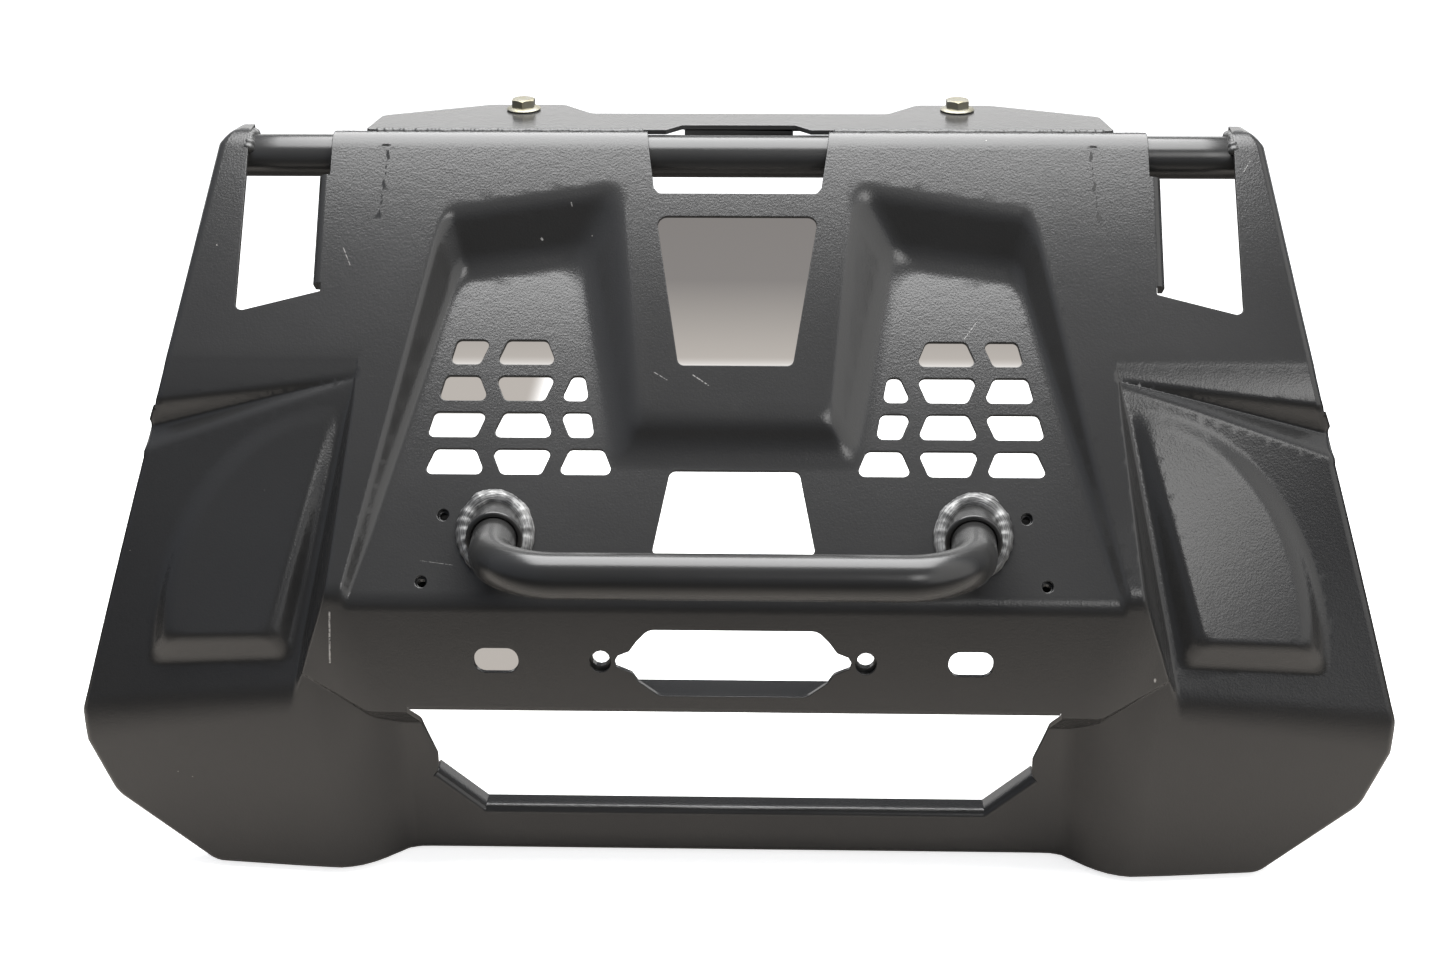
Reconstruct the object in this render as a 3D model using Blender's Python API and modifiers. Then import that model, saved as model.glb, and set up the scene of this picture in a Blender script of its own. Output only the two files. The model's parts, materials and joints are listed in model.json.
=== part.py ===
# Front bumper for an all-terrain vehicle.
# One pressed sheet of steel wraps over a cross tube and makes the whole front. A flat plate
# behind the tube bolts to the vehicle, and a short bent bull bar stands on two welded legs.
#
# Metres, +Z up, the front faces -Y. The origin is on the cross tube's axis, at its middle.
# The sheet is described as the press sees it, looking 30 degrees down from the front:
# u runs across (world X), v up the sloping panel, w out of it towards the press.

import math

import bmesh
import bpy
import numpy as np
from mathutils import Matrix, Vector
from mathutils.geometry import delaunay_2d_cdt

# Sizes that the whole part follows
SHEET = 0.003              # steel sheet of the panel and the plate
SEAT = 0.0003              # gap kept between two pieces that meet
TUBE_D = 0.0254            # cross tube and bull bar
TUBE_WALL = 0.002

# Section of the pressed sheet, at its middle
PRESS_ANGLE = math.radians(30.0)
PANEL_TILT = math.radians(9.0)      # sloping panel, turned back from the press
NOSE_REACH = 0.1846                 # upright nose face, in front of the tube's axis
NOSE_TOP = -0.2723                  # v of the nose's top crease
NOSE_BOTTOM = -0.3356               # v of the nose's bottom edge
FLOOR_TILT = math.radians(13.9)     # floor of the two recesses
SKIRT_SET_BACK = 0.0063             # upright side skirts behind the nose face, at SKIRT_INNER
SKIRT_INNER = 0.246
SKIRT_SWEEP = 0.09
BAR_SET_BACK = 0.0286               # lower bar behind the nose face
BAR_BOTTOM = -0.3976                # z of the bar's bottom edge
SKIRT_BOTTOM = -0.3988              # z of the skirts' bottom edge
LIP_TOP = -0.3659                   # z of the bar's top edge

# Raised middle panel and the recess around it
ISLAND_HALF = 0.0565                # half width at its bottom edge
ISLAND_BOTTOM = -0.1655
ISLAND_FLARE = 0.093
ISLAND_WALL = 0.85
ISLAND_STEP_WALL = 0.6
RECESS_TOP = -0.0275                # v of the recess's top edge, beside the island
RECESS_TOP_FALL = 0.158
RECESS_TOP_U = 0.087
RECESS_TOP_WALL = 0.66
RIB_CREST = 0.2228                  # u of the rib's inner edge, at the nose crease
RIB_CREST_LEAN = 0.208
RIB_WALL = 1.6
RIB_OUTER = 0.2326                  # u of the rib's outer edge, at the nose crease
RIB_OUTER_LEAN = 0.086
RIB_OUTER_WALL = 2.6

# Side wings, each with a raised pad and a groove above it
WING_W = 0.0173                     # height of the wing above the press plane, at WING_V
WING_V = -0.327
WING_RISE = 0.1115
WING_TWIST = 0.147
WING_TOP = -0.150
PAD_FOOT_U = 0.2416
PAD_FOOT_V = -0.305
PAD_LEAN = 0.196
PAD_WIDE = 0.116
PAD_TALL = 0.150
PAD_HIGH = 0.011
PAD_TIP_HIGH = 0.0015
PAD_WALL = 0.85
GROOVE_INSET = 0.0196               # from the rib's outer edge in to the groove's point
GROOVE_V = -0.1392
GROOVE_FALL = 0.232
GROOVE_LENGTH = 0.125
GROOVE_HALF = 0.0125
GROOVE_DEEP = 0.011

# Folded edges
SIDE_FOLD = 0.0055
SIDE_LIP = 0.011
LIP_FOLD = 0.0045
LIP_DEEP = 0.0100
NOSE_FLANGE = 0.031
GRIP_LIP = 0.007

# Grille of each recess
GRILLE_TOP = -0.1156
GRILLE_PITCH = 0.0222
GRILLE_TALL = 0.0151
GRILLE_CORNER = 0.0035
WEB_LINES = (0.0686, 0.1042, 0.1433, 0.1823)
WEB_HALF = 0.0047
WEB_LEAN = 0.0032
GRILLE_INNER = (0.0930, 0.185)      # u at the grille's top, and its lean
GRILLE_OUTER = (0.1654, -0.245)

# Openings of the nose and small holes of the floor
SLOT_U = 0.1362
SLOT_V = -0.305
SLOT_LENGTH = 0.0257
SLOT_WIDE = 0.0138
FAIRLEAD_U = 0.0762
FAIRLEAD_HOLE_D = 0.0124
SCREW_PLACES = ((0.1675, 0.0506), (0.1779, 0.0117))     # u, and v above the nose's top crease
SCREW_HOLES = tuple((u, NOSE_TOP + rise) for u, rise in SCREW_PLACES)
SCREW_HOLE_D = 0.0068

# Outline of the half blank: u, v and the corner's radius
NOTCH = ((0, -0.0275, 0), (0.0469, -0.0275, 0.003), (0.0498, -0.024, 0), (0.0531, 0, 0))
TOP_V = 0.0129
NOTCH_TOP_U = 0.0545
CROWN_U = 0.2440                    # end of the sheet's wrap over the tube
GRIP_U = 0.2454                     # folded side of the hand grip opening
GRIP_FOLD_END = -0.084
GRIP = ((0.2454, -0.0889, 0.001), (0.2951, -0.1019, 0.004), (0.2944, -0.0187, 0), (0.2945, 0.008, 0),
        (0.2955, 0.0200, 0))
HORN = (0.3005, 0.0200)
TUBE_PAST_HORN = 0.001              # how far the cross tube ends past the horn's corner
SIDE = ((0.3078, 0.0030, 0.006), (0.3234, -0.093, 0), (0.3312, -0.140, 0.010), (0.3349, -0.158, 0.004),
        (0.3420, -0.1700, 0.006), (0.3431, -0.1895, 0.010), (0.3858, -0.338, 0.010),
        (0.3850, -0.3555, 0), (0.3722, -0.3855, 0.015))
SKIRT_CORNER = 0.317                # u where the skirt's bottom edge starts
BAR_CORNER = 0.170                  # u where the bar's bottom edge runs straight
LIP_END = (0.154, 0.006)
OPENING = ((0.1835, -0.3761, 0), (0.1796, -0.3708, 0), (0.1796, -0.3619, 0), (0.1903, -0.3365, 0))
FLANGE_END = 0.1850
FAIRLEAD = ((0, -0.3246, 0), (0.0425, -0.3246, 0.009), (0.0545, -0.3165, 0), (0.0580, -0.3116, 0),
            (0.0629, -0.3096, 0), (0.0672, -0.3080, 0), (0.0680, -0.3050, 0), (0.0660, -0.3018, 0),
            (0.0595, -0.2994, 0), (0.0552, -0.2937, 0.004), (0.0483, -0.2871, 0.009), (0, -0.2871, 0))
LOW_WINDOW = ((0, -0.2436, 0), (0.0469, -0.2436, 0.003), (0.0374, -0.1945, 0.004), (0, -0.1945, 0))
WINDOW = ((0, -0.133, 0), (0.0333, -0.133, 0.004), (0.0480, -0.042, 0.0055), (0, -0.042, 0))

# Bull bar and its sleeves
LEG_FOOT_U = 0.1368
LEG_FOOT_V = -0.2319
BAR_LEG = 0.0742                    # from the sheet to the cross piece's axis
BAR_RISE = math.radians(8.4)
BAR_HALF = 0.1315                   # half distance between the legs' axes, at the front
BEND_R = 0.041
SLEEVE_D = 0.0325
SLEEVE_STANDS = 0.0125
WELD_LEG = 0.0048

# Mounting plate, its bolts and nuts
PLATE_BACK = 0.0395
PLATE_TAB_BACK = 0.0608
PLATE_HALF = 0.2255
PLATE_FRONT = 0.0012
PLATE_NOTCH = ((0.0343, 0.0122), (0.0436, PLATE_FRONT))
PLATE_TAB_HALF = 0.0330
PLATE_TAB_FRONT = 0.0126
PLATE_TAB_DOWN = 0.008
BOLT_U = 0.135
BOLT_Y = 0.048
BOLT_D = 0.008
BOLT_LENGTH = 0.020
HEX_FLATS = 0.0135
HEX_HIGH = 0.0046                   # above the flange
FLANGE_D = 0.0212
FLANGE_HIGH = 0.0022
FLANGE_EDGE = 0.0008

# Nuts and brackets behind the sheet
FAIRLEAD_NUT_FLATS = 0.016
FAIRLEAD_NUT_HIGH = 0.0045
FAIRLEAD_NUT_BORE = 0.0102
SMALL_NUT_FLATS = 0.010
SMALL_NUT_HIGH = 0.005
SMALL_NUT_BORE = 0.005
BRACKET_WIDE = 0.032
BRACKET_DEEP = 0.020
BRACKET_LONG = 0.052
BRACKET_RAISED = 0.004     # towards the top, from the middle between the two screw holes
BRACKET_HOLE_D = 0.0105

# How finely curved forms are cut into facets
SHEET_TOLERANCE = 0.001
WRAP_TOLERANCE = 0.00012   # closer where the sheet wraps the tube
WRAP_STEPS = 3
FOLD_STEPS = 2
CORNER_STEPS = 2
ROUND_SIDES = 16

SIN = math.sin(PRESS_ANGLE)
COS = math.cos(PRESS_ANGLE)
CROWN_R = TUBE_D / 2 + SEAT + SHEET


def world(u, v, w):
    """World point of a place in the press's own directions."""
    return Vector((u, v * SIN - w * COS, v * COS + w * SIN))


def upright(depth, v):
    """Height above the press plane of an upright wall at Y = depth."""
    return (v * SIN - depth) / COS


def at_level(depth, z):
    """v of the point at Y = depth and height z."""
    return depth * SIN + z * COS


# The pressed surface

def lower(a, b, k):
    """The lower of two heights, rounded over where they cross."""
    near = np.maximum(k - np.abs(a - b), 0)
    return np.minimum(a, b) - near * near / (4 * k)


def higher(a, b, k):
    """The higher of two heights, rounded over where they cross."""
    return -lower(-a, -b, k)


def panel_height(v):
    """The sloping panel, with no recess in it."""
    return CROWN_R / math.cos(PANEL_TILT) - math.tan(PANEL_TILT) * v


def crown_height(v):
    """The panel, its wrap over the tube, and the level edge behind it."""
    wrap = np.sqrt(np.maximum(CROWN_R ** 2 - v * v, 0))
    level = (CROWN_R - v * COS) / SIN
    past_panel = v > CROWN_R * math.sin(PANEL_TILT)
    past_wrap = v > CROWN_R * COS
    return np.where(past_wrap, level, np.where(past_panel, wrap, panel_height(v)))


def floor_height(v):
    """Floor of the recesses, which ends at the nose's top crease."""
    return upright(-NOSE_REACH, NOSE_TOP) - math.tan(FLOOR_TILT) * (v - NOSE_TOP)


def recess_depth(u, v):
    """How far the two recesses and the step under the island go in."""
    full = np.maximum(panel_height(v) - floor_height(v), 0.0005)
    island = ISLAND_HALF + ISLAND_FLARE * (v - ISLAND_BOTTOM)
    inner = higher(ISLAND_WALL * (u - island), ISLAND_STEP_WALL * (ISLAND_BOTTOM - v), 0.006)
    top = RECESS_TOP_WALL * (RECESS_TOP - RECESS_TOP_FALL * (u - RECESS_TOP_U) - v)
    crest = RIB_CREST + RIB_CREST_LEAN * (NOSE_TOP - v)
    outer = RIB_WALL * (crest - u)
    depth = lower(lower(top, inner, 0.012), outer, 0.012)
    depth = lower(depth, full, np.clip(full, 0.0005, 0.007))
    return np.where(depth > -0.004, higher(depth, 0 * depth, 0.004), 0)


def pad_height(u, v):
    """The raised pad on the wing: straight inside and below, a quarter ellipse outside."""
    inside = PAD_WALL * (u - PAD_FOOT_U - PAD_LEAN * (-0.214 - v))
    below = PAD_WALL * (v - PAD_FOOT_V + 0.03 * (u - 0.259))
    across = (u - 0.230) / PAD_WIDE
    along = (v + 0.310) / PAD_TALL
    outside = PAD_WALL * PAD_WIDE * (1 - np.sqrt(np.maximum(across ** 2 + along ** 2, 1e-6)))
    rise = np.clip((-0.165 - v) / 0.130, 0, 1)
    top = PAD_TIP_HIGH + (PAD_HIGH - PAD_TIP_HIGH) * rise
    pad = lower(lower(inside, below, 0.006), outside, 0.006)
    pad = lower(pad, top, 0.004)
    return np.maximum(higher(pad, 0 * pad, 0.003) - 0.00075, 0)


def groove_depth(u, v):
    """The tapering groove between the panel and the wing."""
    out = u - RIB_OUTER + GROOVE_INSET
    along = np.clip(out / GROOVE_LENGTH, 0, 1.1)
    middle = GROOVE_V - GROOVE_FALL * out
    half = GROOVE_HALF * along + 0.0008
    depth = GROOVE_DEEP * along * (1 - np.sqrt(((v - middle) / half) ** 2 + 0.02))
    return np.maximum(higher(depth, 0 * depth, 0.0024) - 0.0006, 0)


def wing_depth(u, v):
    """How far the surface drops from the panel to the wing, outside the rib."""
    twist = np.clip((WING_TOP - v) / 0.180, 0, 1.2)
    wing = WING_W + WING_RISE * (v - WING_V) - WING_TWIST * twist * (u - SKIRT_INNER)
    panel = panel_height(v)
    depth = panel - lower(panel, wing, 0.005) + groove_depth(u, v) - pad_height(u, v)
    rib = RIB_OUTER + RIB_OUTER_LEAN * (NOSE_TOP - v)
    wall = RIB_OUTER_WALL * (u - rib)
    soft = np.clip(depth, 0.0003, 0.007)
    drop = lower(np.maximum(depth, 0), wall, soft)
    drop = higher(drop, 0 * drop, np.clip(depth, 0.0003, 0.005))
    return np.where(wall > -0.006, np.maximum(drop, 0), 0)


def skirt_depth(u):
    """Y of the skirts and the lower bar: the skirt curves back to the bar."""
    sweep = SKIRT_SWEEP * np.maximum(u - SKIRT_INNER, 0)
    step = BAR_SET_BACK - SKIRT_SET_BACK
    curl = step * np.clip((0.243 - u) / 0.042, 0, 2) ** 2
    return SKIRT_SET_BACK - NOSE_REACH + sweep + lower(curl, step + 0 * curl, 0.006)


def front_height(u, v):
    """The upright nose and the skirts beside and under it."""
    nose = upright(-NOSE_REACH, v)
    nose_end = 0.212 + 0.37 * (v - NOSE_BOTTOM)
    nose = nose - higher(0.22 * (u - nose_end), 0 * u, 0.003)
    under = 5.0 * (NOSE_BOTTOM - v) + higher(3 * (u - 0.214), 0 * u, 0.008)
    nose = nose - higher(under, 0 * u, 0.003)
    return higher(nose, upright(skirt_depth(u), v), 0.004)


def surface(u, v):
    """Height w of the sheet's visible face."""
    u = np.abs(u)
    below_crown = v < CROWN_R * math.sin(PANEL_TILT)
    sunk = np.where(below_crown, recess_depth(u, v) + wing_depth(u, v), 0)
    return lower(crown_height(v) - sunk, front_height(u, v), 0.005)


def surface_point(u, v):
    return world(u, v, float(surface(np.float64(u), np.float64(v))))


def surface_normal(u, v):
    """Unit normal of the visible face, pointing out of the sheet."""
    step = 0.0004
    across = surface_point(u + step, v) - surface_point(u - step, v)
    along = surface_point(u, v + step) - surface_point(u, v - step)
    return across.cross(along).normalized()


# Outlines in the flat view

def rounded(points):
    """Polyline through (u, v, radius) points, with each corner turned by an arc."""
    line = []
    for index, (u, v, radius) in enumerate(points):
        here = Vector((u, v))
        if radius == 0 or index in (0, len(points) - 1):
            line.append(here)
            continue
        before = (Vector(points[index - 1][:2]) - here).normalized()
        after = (Vector(points[index + 1][:2]) - here).normalized()
        half = before.angle(after) / 2
        reach = radius / math.tan(half)
        middle = here + (before + after).normalized() * (radius / math.sin(half))
        start = here + before * reach - middle
        sweep = start.angle_signed(here + after * reach - middle)
        for step in range(CORNER_STEPS + 1):
            turn = Matrix.Rotation(-sweep * step / CORNER_STEPS, 2)
            line.append(middle + turn @ start)
    return line


def closed_rounded(corners, radius):
    """Closed loop of (u, v) corners, all turned by one radius."""
    count = len(corners)
    ring = [corners[-1] + (0,)] + [corner + (radius,) for corner in corners] + [corners[0] + (0,)]
    return rounded(ring)[1:-1] if count else []


def circle(u, v, diameter, sides):
    angles = [2 * math.pi * step / sides for step in range(sides)]
    return [Vector((u + diameter / 2 * math.cos(a), v + diameter / 2 * math.sin(a))) for a in angles]


def web_edge(line, row, end, side):
    """Edge of a slanted web between two grille cells, at its top (1) or its bottom (-1)."""
    lean = WEB_LEAN if (row + line) % 2 else -WEB_LEAN
    return WEB_LINES[line] + side * WEB_HALF + lean * end


def grille_cells():
    """Cells of one recess: webs lean to and fro, and the outer cells follow the recess."""
    cells = []
    for row in range(4):
        top = GRILLE_TOP - row * GRILLE_PITCH
        for column in range(3):
            if row == 0 and column == 0:
                continue
            corners = []
            for end, v in ((1, top), (-1, top - GRILLE_TALL)):
                inner = web_edge(column, row, end, 1)
                outer = web_edge(column + 1, row, end, -1)
                if row < 3 and column == 0:
                    inner = GRILLE_INNER[0] + GRILLE_INNER[1] * (v - GRILLE_TOP)
                if row < 3 and column == 2:
                    outer = GRILLE_OUTER[0] + GRILLE_OUTER[1] * (v - GRILLE_TOP)
                corners.append(((inner, v), (outer, v)))
            (top_in, top_out), (low_in, low_out) = corners
            cells.append(closed_rounded([top_in, top_out, low_out, low_in], GRILLE_CORNER))
    return cells


def slot():
    """Long hole of the nose face. An upright face looks shorter along v."""
    half = SLOT_LENGTH / 2
    tall = SLOT_WIDE / 2
    corners = [(SLOT_U - half, SLOT_V + tall), (SLOT_U + half, SLOT_V + tall),
               (SLOT_U + half, SLOT_V - tall), (SLOT_U - half, SLOT_V - tall)]
    return closed_rounded(corners, 0.0065)


def bottom_edge():
    """Points of the lowest edge, from the skirt's corner to the middle of the bar."""
    points = []
    for u in [SKIRT_CORNER, 0.290, 0.265] + [0.240 - 0.0065 * step for step in range(9)] + [BAR_CORNER, 0]:
        z = float(np.interp(u, [BAR_CORNER + 0.015, 0.225], [BAR_BOTTOM, SKIRT_BOTTOM]))
        v = at_level(float(skirt_depth(np.float64(u))), z) + SIDE_FOLD * COS
        points.append((u, v, 0.012 if u == SKIRT_CORNER else 0))
    return points


def blank_runs():
    """Runs of the half blank's outline, clockwise from the middle of the top edge.

    Each run is a name and its points; the names of folded runs are looked up later.
    """
    bottom = bottom_edge()
    bar_v = bottom[-1][1]
    lip_v = at_level(BAR_SET_BACK - NOSE_REACH, LIP_TOP) - LIP_FOLD * COS
    flange_v = NOSE_BOTTOM + LIP_FOLD * COS
    lip_top = -TUBE_D / 2 - 0.0035
    return [
        ("notch", [*NOTCH, (NOTCH_TOP_U, TOP_V, 0)]),
        ("top", [(NOTCH_TOP_U, TOP_V, 0), (CROWN_U, TOP_V, 0.0015), (CROWN_U, lip_top, 0),
                 (GRIP_U, lip_top, 0)]),
        ("grip lip", [(GRIP_U, lip_top, 0), (GRIP_U, GRIP_FOLD_END, 0)]),
        ("grip", [(GRIP_U, GRIP_FOLD_END, 0), *GRIP, (*HORN, 0)]),
        ("side", [(*HORN, 0), *SIDE, *bottom]),
        ("middle", [(0, bar_v, 0), (0, lip_v, 0)]),
        ("lip", [(0, lip_v, 0), (LIP_END[0], lip_v, LIP_END[1]), OPENING[0]]),
        ("opening", [*OPENING, (FLANGE_END, flange_v, 0)]),
        ("nose flange", [(FLANGE_END, flange_v, 0), (0, flange_v, 0)]),
        ("middle", [(0, flange_v, 0), FAIRLEAD[0]]),
        ("fairlead", FAIRLEAD),
        ("middle", [FAIRLEAD[-1], LOW_WINDOW[0]]),
        ("low window", LOW_WINDOW),
        ("middle", [LOW_WINDOW[-1], WINDOW[0]]),
        ("window", WINDOW),
        ("middle", [WINDOW[-1], NOTCH[0]]),
    ]


# Filling the blank with triangles and lifting it to the surface

def tolerance(v):
    """How far a facet may lie from the surface."""
    return np.where(np.asarray(v) > 0, WRAP_TOLERANCE, SHEET_TOLERANCE)


def wrap_rows():
    """Rows of points along the wrap over the tube, which keep its facets straight."""
    rows = []
    start = math.radians(9.0)
    end = math.radians(54.0)
    for step in range(WRAP_STEPS + 1):
        v = CROWN_R * math.sin(start + (end - start) * step / WRAP_STEPS)
        if v < 0.0122:
            rows.append([Vector((u, v)) for u in np.linspace(NOTCH_TOP_U + 0.003, CROWN_U - 0.003, 8)])
        rows.append([Vector((HORN[0] - 0.003, v)), Vector((HORN[0] + 0.001, v))])
    return rows


def split_run(line, longest=0.022):
    """Adds points to a polyline until it follows the surface."""
    done = [line[0]]
    for end in line[1:]:
        pieces = [end]
        while pieces:
            start = done[-1]
            target = pieces[-1]
            middle = (start + target) / 2
            straight = (surface_point(*start) + surface_point(*target)) / 2
            bow = (surface_point(*middle) - straight).length
            far = (target - start).length
            if (bow > tolerance(middle.y) and far > 0.0015) or far > longest:
                pieces.append(middle)
            else:
                done.append(pieces.pop())
    return done


def inside(points, loops):
    """Which points lie inside the outer loop and outside the holes."""
    hits = np.zeros(len(points), dtype=int)
    for loop in loops:
        ring = np.array([tuple(p) for p in loop])
        nxt = np.roll(ring, -1, axis=0)
        for (x0, y0), (x1, y1) in zip(ring, nxt):
            if y0 == y1:
                continue
            crosses = (points[:, 1] > min(y0, y1)) & (points[:, 1] <= max(y0, y1))
            x = x0 + (points[:, 1] - y0) * (x1 - x0) / (y1 - y0)
            hits += crosses & (x > points[:, 0])
    return hits % 2 == 1


def fill(loops):
    """Triangles of the blank, with more points where the surface bends."""
    border = []
    edges = []
    for loop in loops:
        first = len(border)
        border += [Vector(p) for p in loop]
        edges += [(first + i, first + (i + 1) % len(loop)) for i in range(len(loop))]
    extra = []
    for grid_u in np.arange(0.012, 0.39, 0.024):
        for grid_v in np.arange(-0.41, 0.01, 0.024):
            extra.append(Vector((grid_u, grid_v)))
    keep = inside(np.array([tuple(p) for p in extra]), loops)
    for row in wrap_rows():
        first = len(border)
        border += row
        edges += [(first + i, first + i + 1) for i in range(len(row) - 1)]
    ring = np.array([tuple(p) for p in border])
    extra = [p for p, ok in zip(extra, keep)
             if ok and np.min(np.hypot(*(ring - np.array(p)).T)) > 0.007]
    samples = np.array([(1 / 3, 1 / 3, 1 / 3), (0.5, 0.5, 0), (0, 0.5, 0.5), (0.5, 0, 0.5),
                        (0.6, 0.2, 0.2), (0.2, 0.6, 0.2), (0.2, 0.2, 0.6)])
    for _ in range(40):
        points, _edges, faces, origins, _, _ = delaunay_2d_cdt(border + extra, edges, [], 0, 1e-7)
        flat = np.array([tuple(p) for p in points])
        tris = np.array(faces)
        tris = tris[inside(flat[tris].mean(axis=1), loops)]
        corners = np.dstack([flat[tris], surface(flat[:, 0], flat[:, 1])[tris]])
        spots = np.einsum("sk,tkc->tsc", samples, corners)
        normal = np.cross(corners[:, 1] - corners[:, 0], corners[:, 2] - corners[:, 0])
        upward = normal[:, 2] / np.linalg.norm(normal, axis=1)
        bow = np.abs(surface(spots[..., 0], spots[..., 1]) - spots[..., 2]) * upward[:, None]
        bow /= tolerance(spots[..., 1])
        worst = bow.argmax(axis=1)
        limit = max(1, 0.45 * bow.max())
        fresh = []
        for tri in np.nonzero(bow.max(axis=1) > limit)[0]:
            spot = spots[tri, worst[tri], :2]
            taken = np.concatenate([flat[tris[tri]], ring] + [np.array(fresh[-60:])] * bool(fresh))
            if np.min(np.hypot(*(taken - spot).T)) > 0.0011:
                fresh.append(spot)
        extra += [Vector(map(float, spot)) for spot in fresh]
        if not fresh and limit == 1:
            break
    place = {}
    for index, sources in enumerate(origins):
        for source in sources:
            place[source] = index
    return [tuple(p) for p in flat], [tuple(int(i) for i in tri) for tri in tris], place


def fold_angle(v):
    """How far below level the side lip points back, by its height on the part."""
    return math.radians(float(np.interp(v, [-0.345, -0.315, -0.18, -0.12, 0.0025, CROWN_R * COS],
                                        [3, 24, 27, 39, 39, 90])))


def side_lip(v):
    """Straight depth of the side lip: it dies out at the horn."""
    return float(np.interp(v, [-0.03, 0.004], [SIDE_LIP, 0.0008]))


def fold_plan():
    """Bend radius, straight depth and direction of each folded run."""
    back = Vector((0, 1, 0))
    return {
        "side": (SIDE_FOLD, side_lip,
                 lambda v: Vector((0, math.cos(fold_angle(v)), -math.sin(fold_angle(v))))),
        "lip": (LIP_FOLD, lambda v: LIP_DEEP, lambda v: back),
        "nose flange": (LIP_FOLD, lambda v: NOSE_FLANGE, lambda v: back),
        "grip lip": (SIDE_FOLD, lambda v: GRIP_LIP,
                     lambda v: Vector((0, math.cos(fold_angle(v)), -math.sin(fold_angle(v))))),
    }


def fold_run(verts, faces, indices, flat, plan):
    """Bends a strip back along one run of the outline."""
    radius, depth, direction = plan
    rows = []
    for place, index in enumerate(indices):
        here = verts[index]
        before = verts[indices[max(place - 1, 0)]]
        after = verts[indices[min(place + 1, len(indices) - 1)]]
        u, v = flat[index]
        normal = surface_normal(min(u, 0.39), v)
        out = normal.cross((after - before).normalized()).normalized()
        if u == 0:
            out.x = 0
            out.normalize()
        aim = direction(v)
        turn = out.angle(aim)
        side = (aim - out * out.dot(aim)).normalized()
        row = [index]
        for step in range(1, FOLD_STEPS + 1):
            angle = turn * step / FOLD_STEPS
            bend = out * (radius * math.sin(angle)) + side * (radius * (1 - math.cos(angle)))
            row.append(len(verts))
            verts.append(here + bend)
        row.append(len(verts))
        verts.append(verts[row[-2]] + aim * depth(v))
        rows.append(row)
    for first, second in zip(rows, rows[1:]):
        for low in range(len(first) - 1):
            faces.append((first[low], second[low], second[low + 1], first[low + 1]))


def make_shell(collection, paint):
    """The pressed sheet: half of it, mirrored, and thickened towards the back."""
    outer = []
    runs = []
    for name, points in blank_runs():
        line = split_run(rounded(points))
        first = len(outer)
        outer += line[:-1]
        runs.append((name, first, len(line)))
    holes = grille_cells()
    holes.append(slot())
    holes.append(circle(FAIRLEAD_U, SLOT_V, FAIRLEAD_HOLE_D, 14))
    holes += [circle(u, v, SCREW_HOLE_D, 10) for u, v in SCREW_HOLES]
    flat, tris, place = fill([outer] + holes)
    verts = [surface_point(u, v) for u, v in flat]
    faces = list(tris)
    plans = fold_plan()
    for name, first, count in runs:
        if name in plans:
            indices = [place[(first + step) % len(outer)] for step in range(count)]
            fold_run(verts, faces, indices, flat, plans[name])
    mesh = bpy.data.meshes.new("shell")
    mesh.from_pydata(verts, [], faces)
    shell = add(mesh, "shell", collection, paint)
    mirror = shell.modifiers.new("Other half", "MIRROR")
    mirror.merge_threshold = 0.00005
    thick = shell.modifiers.new("Sheet thickness", "SOLIDIFY")
    thick.thickness = SHEET
    thick.offset = -1
    thick.use_even_offset = True
    mesh.shade_smooth()
    mesh.set_sharp_from_angle(angle=math.radians(40))
    return shell


# Small tools for the other pieces

def material(name, color, roughness, metallic=0.0):
    """A finish as one Principled shader."""
    made = bpy.data.materials.new(name)
    made.use_nodes = True
    shader = made.node_tree.nodes["Principled BSDF"]
    shader.inputs["Base Color"].default_value = (*color, 1)
    shader.inputs["Roughness"].default_value = roughness
    shader.inputs["Metallic"].default_value = metallic
    return made


def add(mesh, name, collection, finish):
    """Puts a mesh in the scene as one named piece."""
    made = bpy.data.objects.new(name, mesh)
    mesh.materials.clear()
    mesh.materials.append(finish)
    collection.objects.link(made)
    return made


def evaluated(holder):
    """Plain mesh of an object with its modifiers worked out, in world places."""
    bpy.context.view_layer.update()
    graph = bpy.context.evaluated_depsgraph_get()
    mesh = bpy.data.meshes.new_from_object(holder.evaluated_get(graph))
    mesh.transform(holder.matrix_world)
    work = bmesh.new()
    work.from_mesh(mesh)
    bmesh.ops.remove_doubles(work, verts=work.verts, dist=0.00001)
    bmesh.ops.recalc_face_normals(work, faces=work.faces)
    work.to_mesh(mesh)
    work.free()
    return mesh


def swept_tube(name, path, diameter, wall, collection, finish):
    """An open-ended tube along a path of points."""
    curve = bpy.data.curves.new(name, "CURVE")
    curve.dimensions = "3D"
    curve.bevel_depth = diameter / 2
    curve.bevel_resolution = (ROUND_SIDES - 4) // 2
    spline = curve.splines.new("POLY")
    spline.points.add(len(path) - 1)
    for point, spot in zip(spline.points, path):
        point.co = (*spot, 1)
    holder = bpy.data.objects.new(name + " path", curve)
    bpy.context.scene.collection.objects.link(holder)
    mesh = evaluated(holder)
    bpy.data.objects.remove(holder)
    tube = add(mesh, name, collection, finish)
    thick = tube.modifiers.new("Tube wall", "SOLIDIFY")
    thick.thickness = wall
    thick.offset = -1
    thick.use_even_offset = True
    mesh.shade_smooth()
    mesh.set_sharp_from_angle(angle=math.radians(40))
    return tube


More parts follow.
